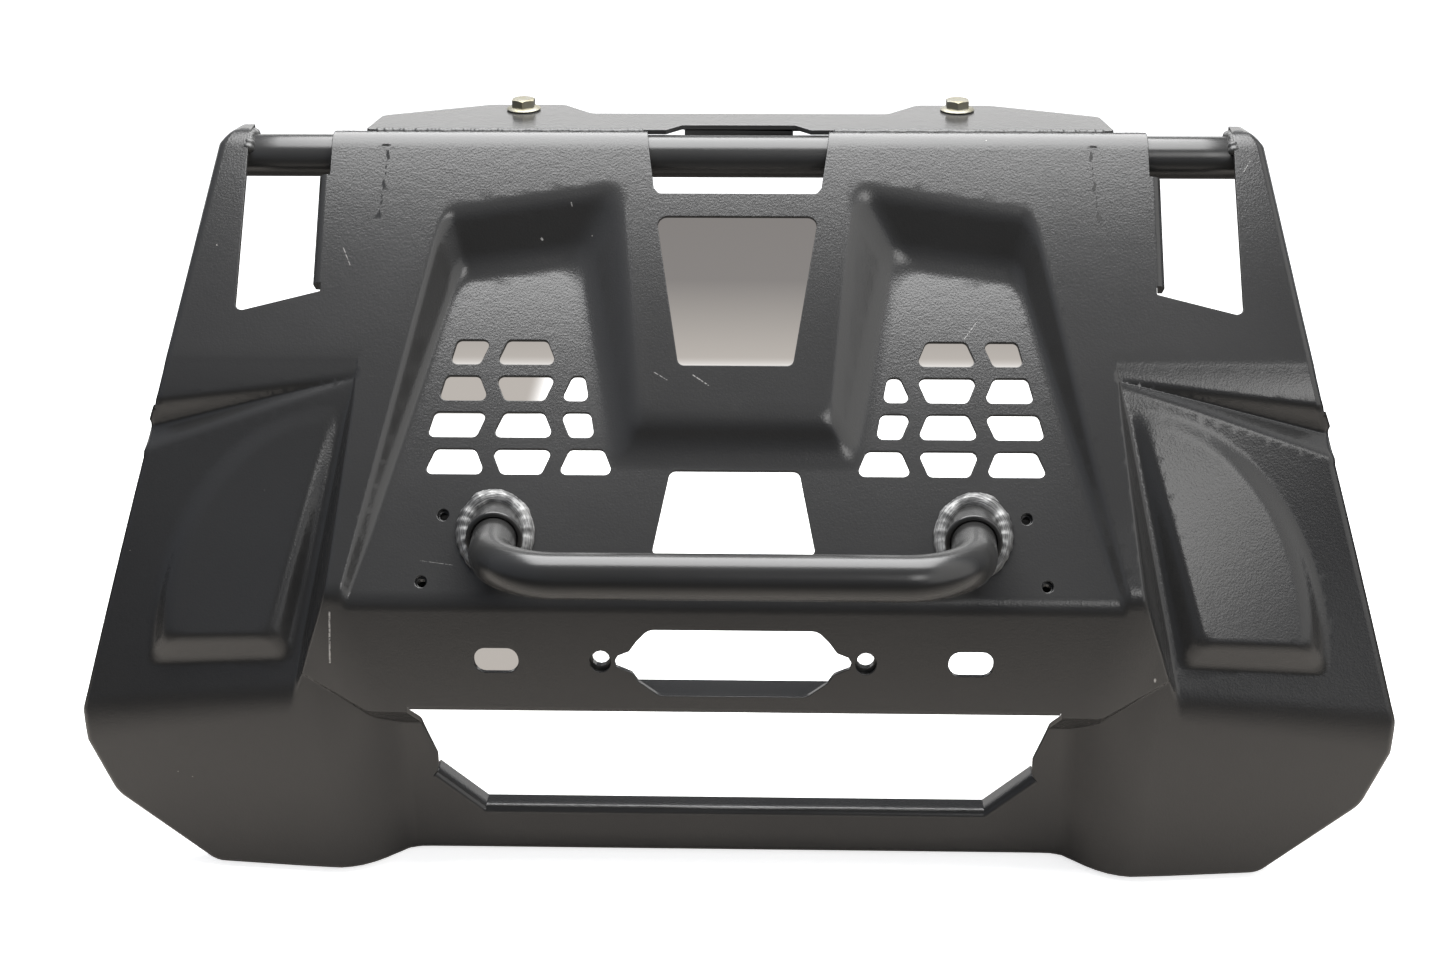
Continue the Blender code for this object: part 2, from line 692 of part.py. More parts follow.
def turned(profile, sides):
    """Closed mesh turned about Z from a closed profile of (radius, z) points."""
    work = bmesh.new()
    ring = [work.verts.new((radius, 0, z)) for radius, z in profile]
    loop = [work.edges.new((a, b)) for a, b in zip(ring, ring[1:] + ring[:1])]
    bmesh.ops.spin(work, geom=ring + loop, axis=(0, 0, 1), cent=(0, 0, 0), angle=2 * math.pi,
                   steps=sides, use_merge=True)
    bmesh.ops.remove_doubles(work, verts=work.verts, dist=0.00001)
    bmesh.ops.recalc_face_normals(work, faces=work.faces)
    mesh = bpy.data.meshes.new("turned")
    work.to_mesh(mesh)
    work.free()
    return mesh


def prism(sides, radius, low, high, turn=0.0):
    """Straight prism about Z, with its first corner at the angle turn."""
    work = bmesh.new()
    bmesh.ops.create_cone(work, cap_ends=True, segments=sides, radius1=radius, radius2=radius,
                          depth=high - low,
                          matrix=Matrix.Translation((0, 0, (low + high) / 2)) @ Matrix.Rotation(turn, 4, "Z"))
    mesh = bpy.data.meshes.new("prism")
    work.to_mesh(mesh)
    work.free()
    return mesh


def box(low, high):
    """Box between two corners."""
    work = bmesh.new()
    size = [b - a for a, b in zip(low, high)]
    middle = [(a + b) / 2 for a, b in zip(low, high)]
    bmesh.ops.create_cube(work, size=1, matrix=Matrix.Translation(middle) @ Matrix.Diagonal((*size, 1)))
    mesh = bpy.data.meshes.new("box")
    work.to_mesh(mesh)
    work.free()
    return mesh


def combined(base, steps):
    """Mesh made from a base mesh by a list of (operation, mesh) Boolean steps."""
    holder = bpy.data.objects.new("base", base)
    bpy.context.scene.collection.objects.link(holder)
    tools = []
    for operation, mesh in steps:
        tool = bpy.data.objects.new("tool", mesh)
        bpy.context.scene.collection.objects.link(tool)
        cut = holder.modifiers.new(operation, "BOOLEAN")
        cut.operation = operation
        cut.object = tool
        tools.append(tool)
    mesh = evaluated(holder)
    for made in tools + [holder]:
        bpy.data.objects.remove(made)
    return mesh


def hex_radius(flats):
    return flats / 2 / math.cos(math.pi / 6)


def frame_at(origin, normal, across=Vector((1, 0, 0))):
    """Matrix whose Z is the normal and whose X lies as near as it can to across."""
    z = normal.normalized()
    y = z.cross(across).normalized()
    x = y.cross(z)
    matrix = Matrix((x, y, z)).transposed().to_4x4()
    matrix.translation = origin
    return matrix


def behind_sheet(u, v):
    """Frame on the sheet's back face at (u, v), with Z pointing away behind it."""
    normal = surface_normal(u, v)
    return frame_at(surface_point(u, v) - normal * SHEET, -normal)


def both_sides(mesh, name, place, collection, finish):
    """The same piece on the left and the right, each mirrored from the other."""
    for side, label in ((-1, "left"), (1, "right")):
        copy = mesh.copy()
        copy.transform(place)
        if side < 0:
            copy.transform(Matrix.Diagonal((-1, 1, 1, 1)))
            copy.flip_normals()
        copy.shade_smooth()
        copy.set_sharp_from_angle(angle=math.radians(35))
        add(copy, name + "_" + label, collection, finish)


# The pieces

def make_top_tube(collection, paint):
    half = HORN[0] + TUBE_PAST_HORN
    swept_tube("top_tube", [(-half, 0, 0), (half, 0, 0)], TUBE_D, TUBE_WALL, collection, paint)


def leg_axis():
    """Foot of the right leg on the sheet, and the leg's direction out of it."""
    foot = surface_point(LEG_FOOT_U, LEG_FOOT_V)
    lean = BAR_HALF - LEG_FOOT_U
    out = Vector((lean, -BAR_LEG * math.cos(BAR_RISE), BAR_LEG * math.sin(BAR_RISE)))
    return foot, out.normalized()


def make_bull_bar(collection, paint):
    foot, out = leg_axis()
    start = foot + out * leg_clearance(out)
    corner = foot + out * BAR_LEG
    corner.x = BAR_HALF
    across = Vector((-1, 0, 0))
    half = (-out).angle(across) / 2
    reach = BEND_R / math.tan(half)
    middle = corner + (across - out).normalized() * (BEND_R / math.sin(half))
    first = corner - out * reach
    axis = (first - middle).cross(corner + across * reach - middle)
    sweep = (first - middle).angle(corner + across * reach - middle)
    steps = 6
    right = [start]
    for step in range(steps + 1):
        turn = Matrix.Rotation(sweep * step / steps, 3, axis)
        right.append(middle + turn @ (first - middle))
    left = [Vector((-p.x, p.y, p.z)) for p in reversed(right)]
    swept_tube("bull_bar", right + left, TUBE_D, TUBE_WALL, collection, paint)


def leg_clearance(out):
    """How far out the leg's square end starts, so that its low side clears the sheet."""
    normal = surface_normal(LEG_FOOT_U, LEG_FOOT_V)
    lean = math.tan(out.angle(normal))
    return TUBE_D / 2 * lean + 4 * SEAT


def on_leg(mesh):
    """Shears a mesh turned about the leg's axis so that its foot lies on the sheet."""
    foot, out = leg_axis()
    place = frame_at(foot, out)
    normal = place.to_3x3().inverted() @ surface_normal(LEG_FOOT_U, LEG_FOOT_V)
    for vert in mesh.vertices:
        slope = -(normal.x * vert.co.x + normal.y * vert.co.y) / normal.z
        vert.co.z += slope
    return place


def make_collars(collection, paint):
    bore = TUBE_D / 2 + 2 * SEAT
    outer = SLEEVE_D / 2
    foot = SEAT / math.cos(math.radians(40))
    edge = 0.0012
    profile = [(bore, foot), (outer, foot), (outer, SLEEVE_STANDS - edge),
               (outer - edge, SLEEVE_STANDS), (bore, SLEEVE_STANDS)]
    mesh = turned(profile, 24)
    foot_z = foot + 0.0001
    place = frame_at(*leg_axis())
    normal = place.to_3x3().inverted() @ surface_normal(LEG_FOOT_U, LEG_FOOT_V)
    for vert in mesh.vertices:
        if vert.co.z < foot_z:
            vert.co.z -= (normal.x * vert.co.x + normal.y * vert.co.y) / normal.z
    both_sides(mesh, "collar", place, collection, paint)


def make_leg_welds(collection, weld):
    inner = SLEEVE_D / 2 + SEAT
    foot = SEAT / math.cos(math.radians(40))
    profile = [(inner, foot), (inner + WELD_LEG, foot), (inner + WELD_LEG * 0.72, WELD_LEG * 0.55),
               (inner + WELD_LEG * 0.35, WELD_LEG * 0.88), (inner, WELD_LEG)]
    mesh = turned(profile, 28)
    for vert in mesh.vertices:
        angle = math.atan2(vert.co.y, vert.co.x)
        grow = 1 + 0.035 * math.sin(9 * angle) + 0.02 * math.sin(17 * angle + 1)
        reach = math.hypot(vert.co.x, vert.co.y)
        if reach > inner + 0.0005:
            vert.co.x *= 1 + (grow - 1) * 0.6
            vert.co.y *= 1 + (grow - 1) * 0.6
    place = on_leg(mesh)
    both_sides(mesh, "leg_weld", place, collection, weld)


def plate_outline():
    """Half outline of the mounting plate, from the notch round to the back."""
    return [(*PLATE_NOTCH[0], 0), (*PLATE_NOTCH[1], 0), (PLATE_HALF, PLATE_FRONT, 0.002),
            (PLATE_HALF - 0.0046, 0.0336, 0.004), (0.1557, PLATE_TAB_BACK, 0.012),
            (0.1104, PLATE_TAB_BACK, 0.006), (0.0915, PLATE_BACK, 0.006), (0.060, PLATE_BACK, 0)]


def make_top_plate(collection, paint):
    """Flat plate on the tube, with a small tab bent down at the back of its notch."""
    low = TUBE_D / 2 + SEAT
    right = rounded(plate_outline())
    outline = right + [Vector((-p.x, p.y)) for p in reversed(right)]
    curve = bpy.data.curves.new("plate", "CURVE")
    curve.dimensions = "2D"
    curve.fill_mode = "BOTH"
    curve.extrude = SHEET / 2
    spline = curve.splines.new("POLY")
    spline.points.add(len(outline) - 1)
    for point, spot in zip(spline.points, outline):
        point.co = (spot.x, spot.y, 0, 1)
    spline.use_cyclic_u = True
    holder = bpy.data.objects.new("plate outline", curve)
    holder.location.z = low + SHEET / 2
    bpy.context.scene.collection.objects.link(holder)
    flat = evaluated(holder)
    bpy.data.objects.remove(holder)
    tab = box((-PLATE_TAB_HALF, PLATE_TAB_FRONT, low - PLATE_TAB_DOWN),
              (PLATE_TAB_HALF, PLATE_TAB_FRONT + SHEET, low + SHEET / 2))
    steps = [("UNION", tab)]
    for side in (-1, 1):
        hole = prism(24, BOLT_D / 2 + 0.0005, low - 0.002, low + SHEET + 0.002)
        hole.transform(Matrix.Translation((side * BOLT_U, BOLT_Y, 0)))
        steps.append(("DIFFERENCE", hole))
    mesh = combined(flat, steps)
    add(mesh, "top_plate", collection, paint)


def make_top_welds(collection, weld):
    """Uneven bead over the joint between the sheet's top edge and the plate."""
    start = 0.0565
    end = PLATE_HALF - 0.006
    sections = 18
    work = bmesh.new()
    rows = []
    for index in range(sections + 1):
        share = index / sections
        x = start + (end - start) * share
        ends = min(1.0, 0.35 + 5 * min(share, 1 - share))
        half = (0.0030 + 0.0004 * math.sin(2.3 * index)) * ends
        high = (0.0013 + 0.0003 * math.sin(1.7 * index + 1)) * ends
        low = CROWN_R + SEAT
        angles = [math.pi * step / 5 for step in range(6)]
        rows.append([work.verts.new((x, -0.0004 + half * math.cos(a), low + high * math.sin(a)))
                     for a in angles])
    for first, second in zip(rows, rows[1:]):
        for low_i in range(6):
            nxt = (low_i + 1) % 6
            work.faces.new((first[low_i], first[nxt], second[nxt], second[low_i]))
    work.faces.new(rows[0][::-1])
    work.faces.new(rows[-1])
    bmesh.ops.recalc_face_normals(work, faces=work.faces)
    mesh = bpy.data.meshes.new("top weld")
    work.to_mesh(mesh)
    work.free()
    both_sides(mesh, "top_weld", Matrix.Identity(4), collection, weld)


def make_bolts(collection, zinc):
    """Hex flange bolts down through the plate, and their flange nuts below it."""
    top = CROWN_R + SEAT
    flange = [(0, 0), (FLANGE_D / 2, 0), (FLANGE_D / 2, FLANGE_EDGE), (HEX_FLATS / 2, FLANGE_HIGH),
              (0, FLANGE_HIGH)]
    head = prism(6, hex_radius(HEX_FLATS), 0.0012, FLANGE_HIGH + HEX_HIGH)
    shank = prism(12, BOLT_D / 2, -BOLT_LENGTH, 0.0010)
    bolt = combined(turned(flange, 18), [("UNION", head), ("UNION", shank)])
    both_sides(bolt, "bolt", Matrix.Translation((BOLT_U, BOLT_Y, top)), collection, zinc)
    under = CROWN_R - SHEET - SEAT
    nut_hex = prism(6, hex_radius(HEX_FLATS), 0.0012, FLANGE_HIGH + HEX_HIGH)
    bore = prism(12, BOLT_D / 2 + SEAT, -0.001, FLANGE_HIGH + HEX_HIGH + 0.001)
    nut = combined(turned(flange, 18), [("UNION", nut_hex), ("DIFFERENCE", bore)])
    place = Matrix.Translation((BOLT_U, BOLT_Y, under)) @ Matrix.Rotation(math.pi, 4, "X")
    both_sides(nut, "nut", place, collection, zinc)


def hex_nut(flats, high, bore):
    hole = prism(12, bore / 2, -0.001, high + 0.002)
    return combined(prism(6, hex_radius(flats), 0, high), [("DIFFERENCE", hole)])


def make_fairlead_nuts(collection, zinc):
    nut = hex_nut(FAIRLEAD_NUT_FLATS, FAIRLEAD_NUT_HIGH, FAIRLEAD_NUT_BORE)
    place = behind_sheet(FAIRLEAD_U, SLOT_V) @ Matrix.Translation((0, 0, SEAT))
    both_sides(nut, "fairlead_nut", place, collection, zinc)


def make_small_nuts(collection, zinc):
    for label, (u, v) in zip(("upper", "lower"), SCREW_HOLES):
        nut = hex_nut(SMALL_NUT_FLATS, SMALL_NUT_HIGH, SMALL_NUT_BORE)
        place = behind_sheet(u, v) @ Matrix.Translation((0, 0, SEAT))
        both_sides(nut, "small_nut_" + label, place, collection, zinc)


def make_brackets(collection, paint):
    """Folded channel over each pair of small nuts, with one mounting hole in its back."""
    (u0, v0), (u1, v1) = SCREW_HOLES
    lean = (world(u0, v0, float(floor_height(v0))) - world(u1, v1, float(floor_height(v1)))).normalized()
    place = frame_at(behind_sheet((u0 + u1) / 2, (v0 + v1) / 2).translation,
                     -surface_normal((u0 + u1) / 2, (v0 + v1) / 2), lean)
    bend = 0.006
    half = BRACKET_WIDE / 2
    profile = rounded([(-half, SEAT, 0), (-half, BRACKET_DEEP, bend), (half, BRACKET_DEEP, bend),
                       (half, SEAT, 0)])
    work = bmesh.new()
    low = BRACKET_RAISED - BRACKET_LONG / 2
    ring = [work.verts.new((low, p.x, p.y)) for p in profile]
    line = [work.edges.new((a, b)) for a, b in zip(ring, ring[1:])]
    made = bmesh.ops.extrude_edge_only(work, edges=line)
    moved = [g for g in made["geom"] if isinstance(g, bmesh.types.BMVert)]
    bmesh.ops.translate(work, verts=moved, vec=(BRACKET_LONG, 0, 0))
    bmesh.ops.recalc_face_normals(work, faces=work.faces)
    mesh = bpy.data.meshes.new("channel")
    work.to_mesh(mesh)
    work.free()
    holder = bpy.data.objects.new("channel", mesh)
    bpy.context.scene.collection.objects.link(holder)
    thick = holder.modifiers.new("Sheet thickness", "SOLIDIFY")
    thick.thickness = SHEET
    thick.offset = 0
    thick.use_even_offset = True
    channel = evaluated(holder)
    bpy.data.objects.remove(holder)
    hole = prism(20, BRACKET_HOLE_D / 2, BRACKET_DEEP - 0.01, BRACKET_DEEP + 0.01)
    hole.transform(Matrix.Translation((BRACKET_RAISED, 0, 0)))
    channel = combined(channel, [("DIFFERENCE", hole)])
    both_sides(channel, "bracket", place, collection, paint)


def main():
    for old in list(bpy.data.objects):
        bpy.data.objects.remove(old)
    parts = bpy.data.collections.new("ATV front bumper")
    bpy.context.scene.collection.children.link(parts)
    paint = material("black paint", (0.020, 0.020, 0.022), 0.45)
    bar_paint = material("black bar paint", (0.018, 0.018, 0.020), 0.35)
    weld = material("painted weld", (0.10, 0.10, 0.105), 0.5, 0.4)
    zinc = material("zinc plate", (0.55, 0.53, 0.45), 0.35, 1.0)
    make_shell(parts, paint)
    make_top_tube(parts, bar_paint)
    make_top_plate(parts, paint)
    make_top_welds(parts, weld)
    make_bolts(parts, zinc)
    make_bull_bar(parts, bar_paint)
    make_collars(parts, bar_paint)
    make_leg_welds(parts, weld)
    make_fairlead_nuts(parts, zinc)
    make_small_nuts(parts, zinc)
    make_brackets(parts, paint)


main()
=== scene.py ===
# %% [markdown]
# A front bumper for an all-terrain vehicle, dressed for its photograph. The solids come from
# the CAD model and stay where they are. This script makes finer skins over them, gives every
# surface its finish, and sets up the floor, the light and the camera.

import json
import math

import bmesh
import bpy
import numpy as np
from mathutils import Matrix, Vector
from mathutils.geometry import delaunay_2d_cdt
from mathutils.kdtree import KDTree

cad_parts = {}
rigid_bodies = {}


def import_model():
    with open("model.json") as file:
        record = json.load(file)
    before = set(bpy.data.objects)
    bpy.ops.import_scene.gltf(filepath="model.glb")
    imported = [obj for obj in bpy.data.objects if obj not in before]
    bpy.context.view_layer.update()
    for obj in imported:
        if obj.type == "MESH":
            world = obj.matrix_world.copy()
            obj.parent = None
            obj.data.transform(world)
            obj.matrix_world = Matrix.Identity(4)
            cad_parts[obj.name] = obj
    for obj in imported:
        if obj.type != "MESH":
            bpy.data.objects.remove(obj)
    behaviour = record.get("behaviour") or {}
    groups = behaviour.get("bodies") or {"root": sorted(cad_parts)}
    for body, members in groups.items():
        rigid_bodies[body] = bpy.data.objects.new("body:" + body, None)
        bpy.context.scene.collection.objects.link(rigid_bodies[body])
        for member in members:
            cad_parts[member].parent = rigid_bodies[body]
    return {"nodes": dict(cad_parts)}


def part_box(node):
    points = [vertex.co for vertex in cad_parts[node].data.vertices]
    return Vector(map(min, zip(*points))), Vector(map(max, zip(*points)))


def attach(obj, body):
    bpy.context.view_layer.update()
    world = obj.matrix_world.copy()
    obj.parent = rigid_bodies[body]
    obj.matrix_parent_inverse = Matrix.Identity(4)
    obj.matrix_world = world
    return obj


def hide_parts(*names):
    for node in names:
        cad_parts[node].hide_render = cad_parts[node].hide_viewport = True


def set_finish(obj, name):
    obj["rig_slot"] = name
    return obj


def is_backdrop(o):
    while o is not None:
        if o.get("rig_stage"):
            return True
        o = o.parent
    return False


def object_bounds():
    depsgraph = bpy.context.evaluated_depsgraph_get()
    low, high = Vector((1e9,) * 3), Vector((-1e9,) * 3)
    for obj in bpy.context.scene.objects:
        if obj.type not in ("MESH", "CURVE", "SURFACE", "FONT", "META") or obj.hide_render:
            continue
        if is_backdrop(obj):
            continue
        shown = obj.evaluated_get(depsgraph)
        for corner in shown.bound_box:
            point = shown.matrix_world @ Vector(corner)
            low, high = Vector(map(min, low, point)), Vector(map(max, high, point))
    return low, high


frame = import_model()
cad_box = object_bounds()
print("CAD nodes:", len(frame["nodes"]))

# %% [markdown]
# The bumper is one pressed sheet of steel that wraps over a cross tube. The press looks down
# on it at 30 degrees from the front, so its shape is easiest to say in the press's own
# directions: u across, v up the sloping panel, and w out towards the press. These sizes are
# the CAD model's own, in metres, and what can be measured on the frame is measured there.

# %% Sizes that the pieces share
SHEET = 0.003
SEAT = 0.0003
tube_low, tube_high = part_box("top_tube")
TUBE_D = tube_high.z - tube_low.z
TUBE_WALL = 0.002
PRESS_ANGLE = math.radians(30.0)
SIN = math.sin(PRESS_ANGLE)
COS = math.cos(PRESS_ANGLE)
CROWN_R = TUBE_D / 2 + SEAT + SHEET
print("Tube diameter in mm:", round(TUBE_D * 1000, 2))

# %% The section of the sheet, and what is pressed into it
PANEL_TILT = math.radians(9.0)
NOSE_REACH = 0.1846
NOSE_TOP = -0.2723
NOSE_BOTTOM = -0.3356
FLOOR_TILT = math.radians(13.9)
SKIRT_SET_BACK = 0.0063
SKIRT_INNER = 0.246
SKIRT_SWEEP = 0.09
BAR_SET_BACK = 0.0286
BAR_BOTTOM = -0.3976
SKIRT_BOTTOM = -0.3988
LIP_TOP = -0.3659
ISLAND_HALF = 0.0565
ISLAND_BOTTOM = -0.1655
ISLAND_FLARE = 0.093
ISLAND_WALL = 0.85
ISLAND_STEP_WALL = 0.6
RECESS_TOP = -0.0275
RECESS_TOP_FALL = 0.158
RECESS_TOP_U = 0.087
RECESS_TOP_WALL = 0.66
RIB_CREST = 0.2228
RIB_CREST_LEAN = 0.208
RIB_WALL = 1.6
RIB_OUTER = 0.2326
RIB_OUTER_LEAN = 0.086
RIB_OUTER_WALL = 2.6
WING_W = 0.0173
WING_V = -0.327
WING_RISE = 0.1115
WING_TWIST = 0.147
WING_TOP = -0.150
WING_TALL = 0.180
PAD_FOOT_U = 0.2416
PAD_FOOT_V = -0.305
PAD_LEAN = 0.196
PAD_WIDE = 0.116
PAD_TALL = 0.150
PAD_HIGH = 0.011
PAD_TIP_HIGH = 0.0015
PAD_WALL = 0.85
PAD_SIDE_V = -0.214                 # where the inner side stands PAD_FOOT_U from the middle
PAD_FOOT_TURN = 0.03
PAD_FOOT_MIDDLE = 0.259
PAD_ROUND = (0.230, -0.310)         # middle of the round outer side
PAD_TIP_V = -0.165
PAD_RISE_LENGTH = 0.130
GROOVE_INSET = 0.0196
GROOVE_V = -0.1392
GROOVE_FALL = 0.232
GROOVE_LENGTH = 0.125
GROOVE_HALF = 0.0125
GROOVE_DEEP = 0.011
GROOVE_CREASE = 0.0024
print("Nose stands", round(NOSE_REACH * 1000), "mm in front of the tube's axis")

# %% Folded edges, grille and holes
SIDE_FOLD = 0.0055
SIDE_LIP = 0.011
LIP_FOLD = 0.0045
LIP_DEEP = 0.010
NOSE_FLANGE = 0.031
GRIP_LIP = 0.007
GRILLE_TOP = -0.1156
GRILLE_PITCH = 0.0222
GRILLE_TALL = 0.0151
GRILLE_CORNER = 0.0035
WEB_LINES = (0.0686, 0.1042, 0.1433, 0.1823)
WEB_HALF = 0.0047
WEB_LEAN = 0.0032
GRILLE_INNER = (0.0930, 0.185)
GRILLE_OUTER = (0.1654, -0.245)
SLOT_U = 0.1362
SLOT_V = -0.305
SLOT_LENGTH = 0.0257
SLOT_WIDE = 0.0138
FAIRLEAD_U = 0.0762
FAIRLEAD_HOLE_D = 0.0124
SCREW_PLACES = ((0.1675, 0.0506), (0.1779, 0.0117))
SCREW_HOLES = [(u, NOSE_TOP + rise) for u, rise in SCREW_PLACES]
SCREW_HOLE_D = 0.0068

# %% Directions of the press
def world(u, v, w):
    """World point, or direction, of one given in the press's directions."""
    return np.stack([u + 0 * w, v * SIN - w * COS, v * COS + w * SIN], axis=-1)


def upright(depth, v):
    """Height w of an upright wall at Y = depth."""
    return (v * SIN - depth) / COS


def at_level(depth, z):
    """v of the point at Y = depth and height z."""
    return depth * SIN + z * COS


# %% [markdown]
# A pressed form has no corners: where two planes meet, the sheet is rolled over a radius. So
# the sheet is written as heights over the (u, v) plane. Each plane is one short formula, and
# two soft rules, the lower of two and the higher of two, join them with a rounded crease.

# %% Planes joined by rounded creases
WIDE_CREASE = 0.012
FLOOR_CREASE = 0.007
FIRM_CREASE = 0.006
WING_CREASE = 0.005
FINE_CREASE = 0.004
TIGHT_CREASE = 0.003
THINNEST = 0.0003                   # least crease, where a pressed form runs out to nothing


def lower(a, b, k):
    near = np.maximum(k - np.abs(a - b), 0)
    return np.minimum(a, b) - near * near / (4 * k)


def higher(a, b, k):
    return -lower(-a, -b, k)


def softly_positive(height, k):
    """The height where it is above zero, run out flat at its foot."""
    return np.where(height > -k, higher(height, 0 * height, k), 0)


def panel_height(v):
    """The sloping panel, with nothing pressed into it."""
    return CROWN_R / math.cos(PANEL_TILT) - math.tan(PANEL_TILT) * v


def crown_height(v):
    """The panel, its wrap over the tube, and the level edge behind it."""
    wrap = np.sqrt(np.maximum(CROWN_R ** 2 - v * v, 0))
    level = (CROWN_R - v * COS) / SIN
    past_panel = v > CROWN_R * math.sin(PANEL_TILT)
    return np.where(v > CROWN_R * COS, level, np.where(past_panel, wrap, panel_height(v)))


def floor_height(v):
    """Floor of the two recesses, which ends at the nose's top crease."""
    return upright(-NOSE_REACH, NOSE_TOP) - math.tan(FLOOR_TILT) * (v - NOSE_TOP)


# %% The recesses on both sides of the middle island
LEAST_RECESS = 0.0005


def recess_depth(u, v):
    full = np.maximum(panel_height(v) - floor_height(v), LEAST_RECESS)
    island = ISLAND_HALF + ISLAND_FLARE * (v - ISLAND_BOTTOM)
    inner = higher(ISLAND_WALL * (u - island), ISLAND_STEP_WALL * (ISLAND_BOTTOM - v), FIRM_CREASE)
    top = RECESS_TOP_WALL * (RECESS_TOP - RECESS_TOP_FALL * (u - RECESS_TOP_U) - v)
    crest = RIB_CREST + RIB_CREST_LEAN * (NOSE_TOP - v)
    depth = lower(lower(top, inner, WIDE_CREASE), RIB_WALL * (crest - u), WIDE_CREASE)
    depth = lower(depth, full, np.clip(full, LEAST_RECESS, FLOOR_CREASE))
    return softly_positive(depth, FINE_CREASE)


# %% The wings, with a raised pad and a groove
def pad_height(u, v):
    inside = PAD_WALL * (u - PAD_FOOT_U - PAD_LEAN * (PAD_SIDE_V - v))
    below = PAD_WALL * (v - PAD_FOOT_V + PAD_FOOT_TURN * (u - PAD_FOOT_MIDDLE))
    across = (u - PAD_ROUND[0]) / PAD_WIDE
    along = (v - PAD_ROUND[1]) / PAD_TALL
    outside = PAD_WALL * PAD_WIDE * (1 - np.sqrt(np.maximum(across ** 2 + along ** 2, 1e-6)))
    rise = np.clip((PAD_TIP_V - v) / PAD_RISE_LENGTH, 0, 1)
    top = PAD_TIP_HIGH + (PAD_HIGH - PAD_TIP_HIGH) * rise
    pad = lower(lower(lower(inside, below, FIRM_CREASE), outside, FIRM_CREASE), top, FINE_CREASE)
    return softly_positive(pad - TIGHT_CREASE / 4, TIGHT_CREASE)


def groove_depth(u, v):
    out = u - RIB_OUTER + GROOVE_INSET
    along = np.clip(out / GROOVE_LENGTH, 0, 1.1)
    middle = GROOVE_V - GROOVE_FALL * out
    half = GROOVE_HALF * along + 0.0008
    depth = GROOVE_DEEP * along * (1 - np.sqrt(((v - middle) / half) ** 2 + 0.02))
    return softly_positive(depth - GROOVE_CREASE / 4, GROOVE_CREASE)


def wing_depth(u, v):
    """How far the surface drops from the panel to the wing, outside the rib."""
    twist = np.clip((WING_TOP - v) / WING_TALL, 0, 1.2)
    wing = WING_W + WING_RISE * (v - WING_V) - WING_TWIST * twist * (u - SKIRT_INNER)
    panel = panel_height(v)
    depth = panel - lower(panel, wing, WING_CREASE) + groove_depth(u, v) - pad_height(u, v)
    rib = RIB_OUTER + RIB_OUTER_LEAN * (NOSE_TOP - v)
    wall = RIB_OUTER_WALL * (u - rib)
    drop = lower(np.maximum(depth, 0), wall, np.clip(depth, THINNEST, FLOOR_CREASE))
    drop = higher(drop, 0 * drop, np.clip(depth, THINNEST, WING_CREASE))
    faded = np.maximum(drop, 0) * np.clip(depth / 0.0005, 0, 1)
    return np.where(wall > -0.006, faded, 0)


# %% The nose, the skirts and the lower bar
CURL_START = 0.243                  # u where the skirt starts to curve back to the bar
CURL_LENGTH = 0.042
NOSE_END = (0.212, 0.37)            # u of the nose's end at its bottom edge, and how it leans
UNDERCUT_U = 0.214


def skirt_depth(u):
    """Y of the skirts and the lower bar: the skirt curves back to the bar."""
    sweep = SKIRT_SWEEP * np.maximum(u - SKIRT_INNER, 0)
    step = BAR_SET_BACK - SKIRT_SET_BACK
    curl = step * np.clip((CURL_START - u) / CURL_LENGTH, 0, 2) ** 2
    return SKIRT_SET_BACK - NOSE_REACH + sweep + lower(curl, step + 0 * curl, FIRM_CREASE)


def front_height(u, v):
    nose = upright(-NOSE_REACH, v)
    nose_end = NOSE_END[0] + NOSE_END[1] * (v - NOSE_BOTTOM)
    nose = nose - higher(0.22 * (u - nose_end), 0 * u, TIGHT_CREASE)
    under = 5.0 * (NOSE_BOTTOM - v) + higher(3 * (u - UNDERCUT_U), 0 * u, 0.008)
    nose = nose - higher(under, 0 * u, TIGHT_CREASE)
    return higher(nose, upright(skirt_depth(u), v), FINE_CREASE)


def surface(u, v):
    """Height w of the sheet's visible face."""
    u = np.abs(u)
    below_crown = v < CROWN_R * math.sin(PANEL_TILT)
    sunk = np.where(below_crown, recess_depth(u, v) + wing_depth(u, v), 0)
    return lower(crown_height(v) - sunk, front_height(u, v), WING_CREASE)


# %% Points and normals on the sheet
def sheet_points(flat):
    u, v = np.asarray(flat, float).T
    return world(u, v, surface(u, v))


def sheet_normals(flat, step=0.0002):
    u, v = np.asarray(flat, float).T
    u = np.minimum(u, 0.39)
    slope_u = (surface(u + step, v) - surface(u - step, v)) / (2 * step)
    slope_v = (surface(u, v + step) - surface(u, v - step)) / (2 * step)
    normal = world(-slope_u, -slope_v, np.ones_like(u))
    return normal / np.linalg.norm(normal, axis=1, keepdims=True)


print("Middle of the nose:", sheet_points([(0, SLOT_V)])[0].round(4))

# %% [markdown]
# The sheet starts as a flat blank, cut by laser. Its outline is drawn in the flat view as
# straight lines with rounded corners, clockwise from the middle of the top edge, for one half
# only. Each run has a name, because some of them are folded back later.

# %% Rounded outlines
CORNER_STEPS = 6


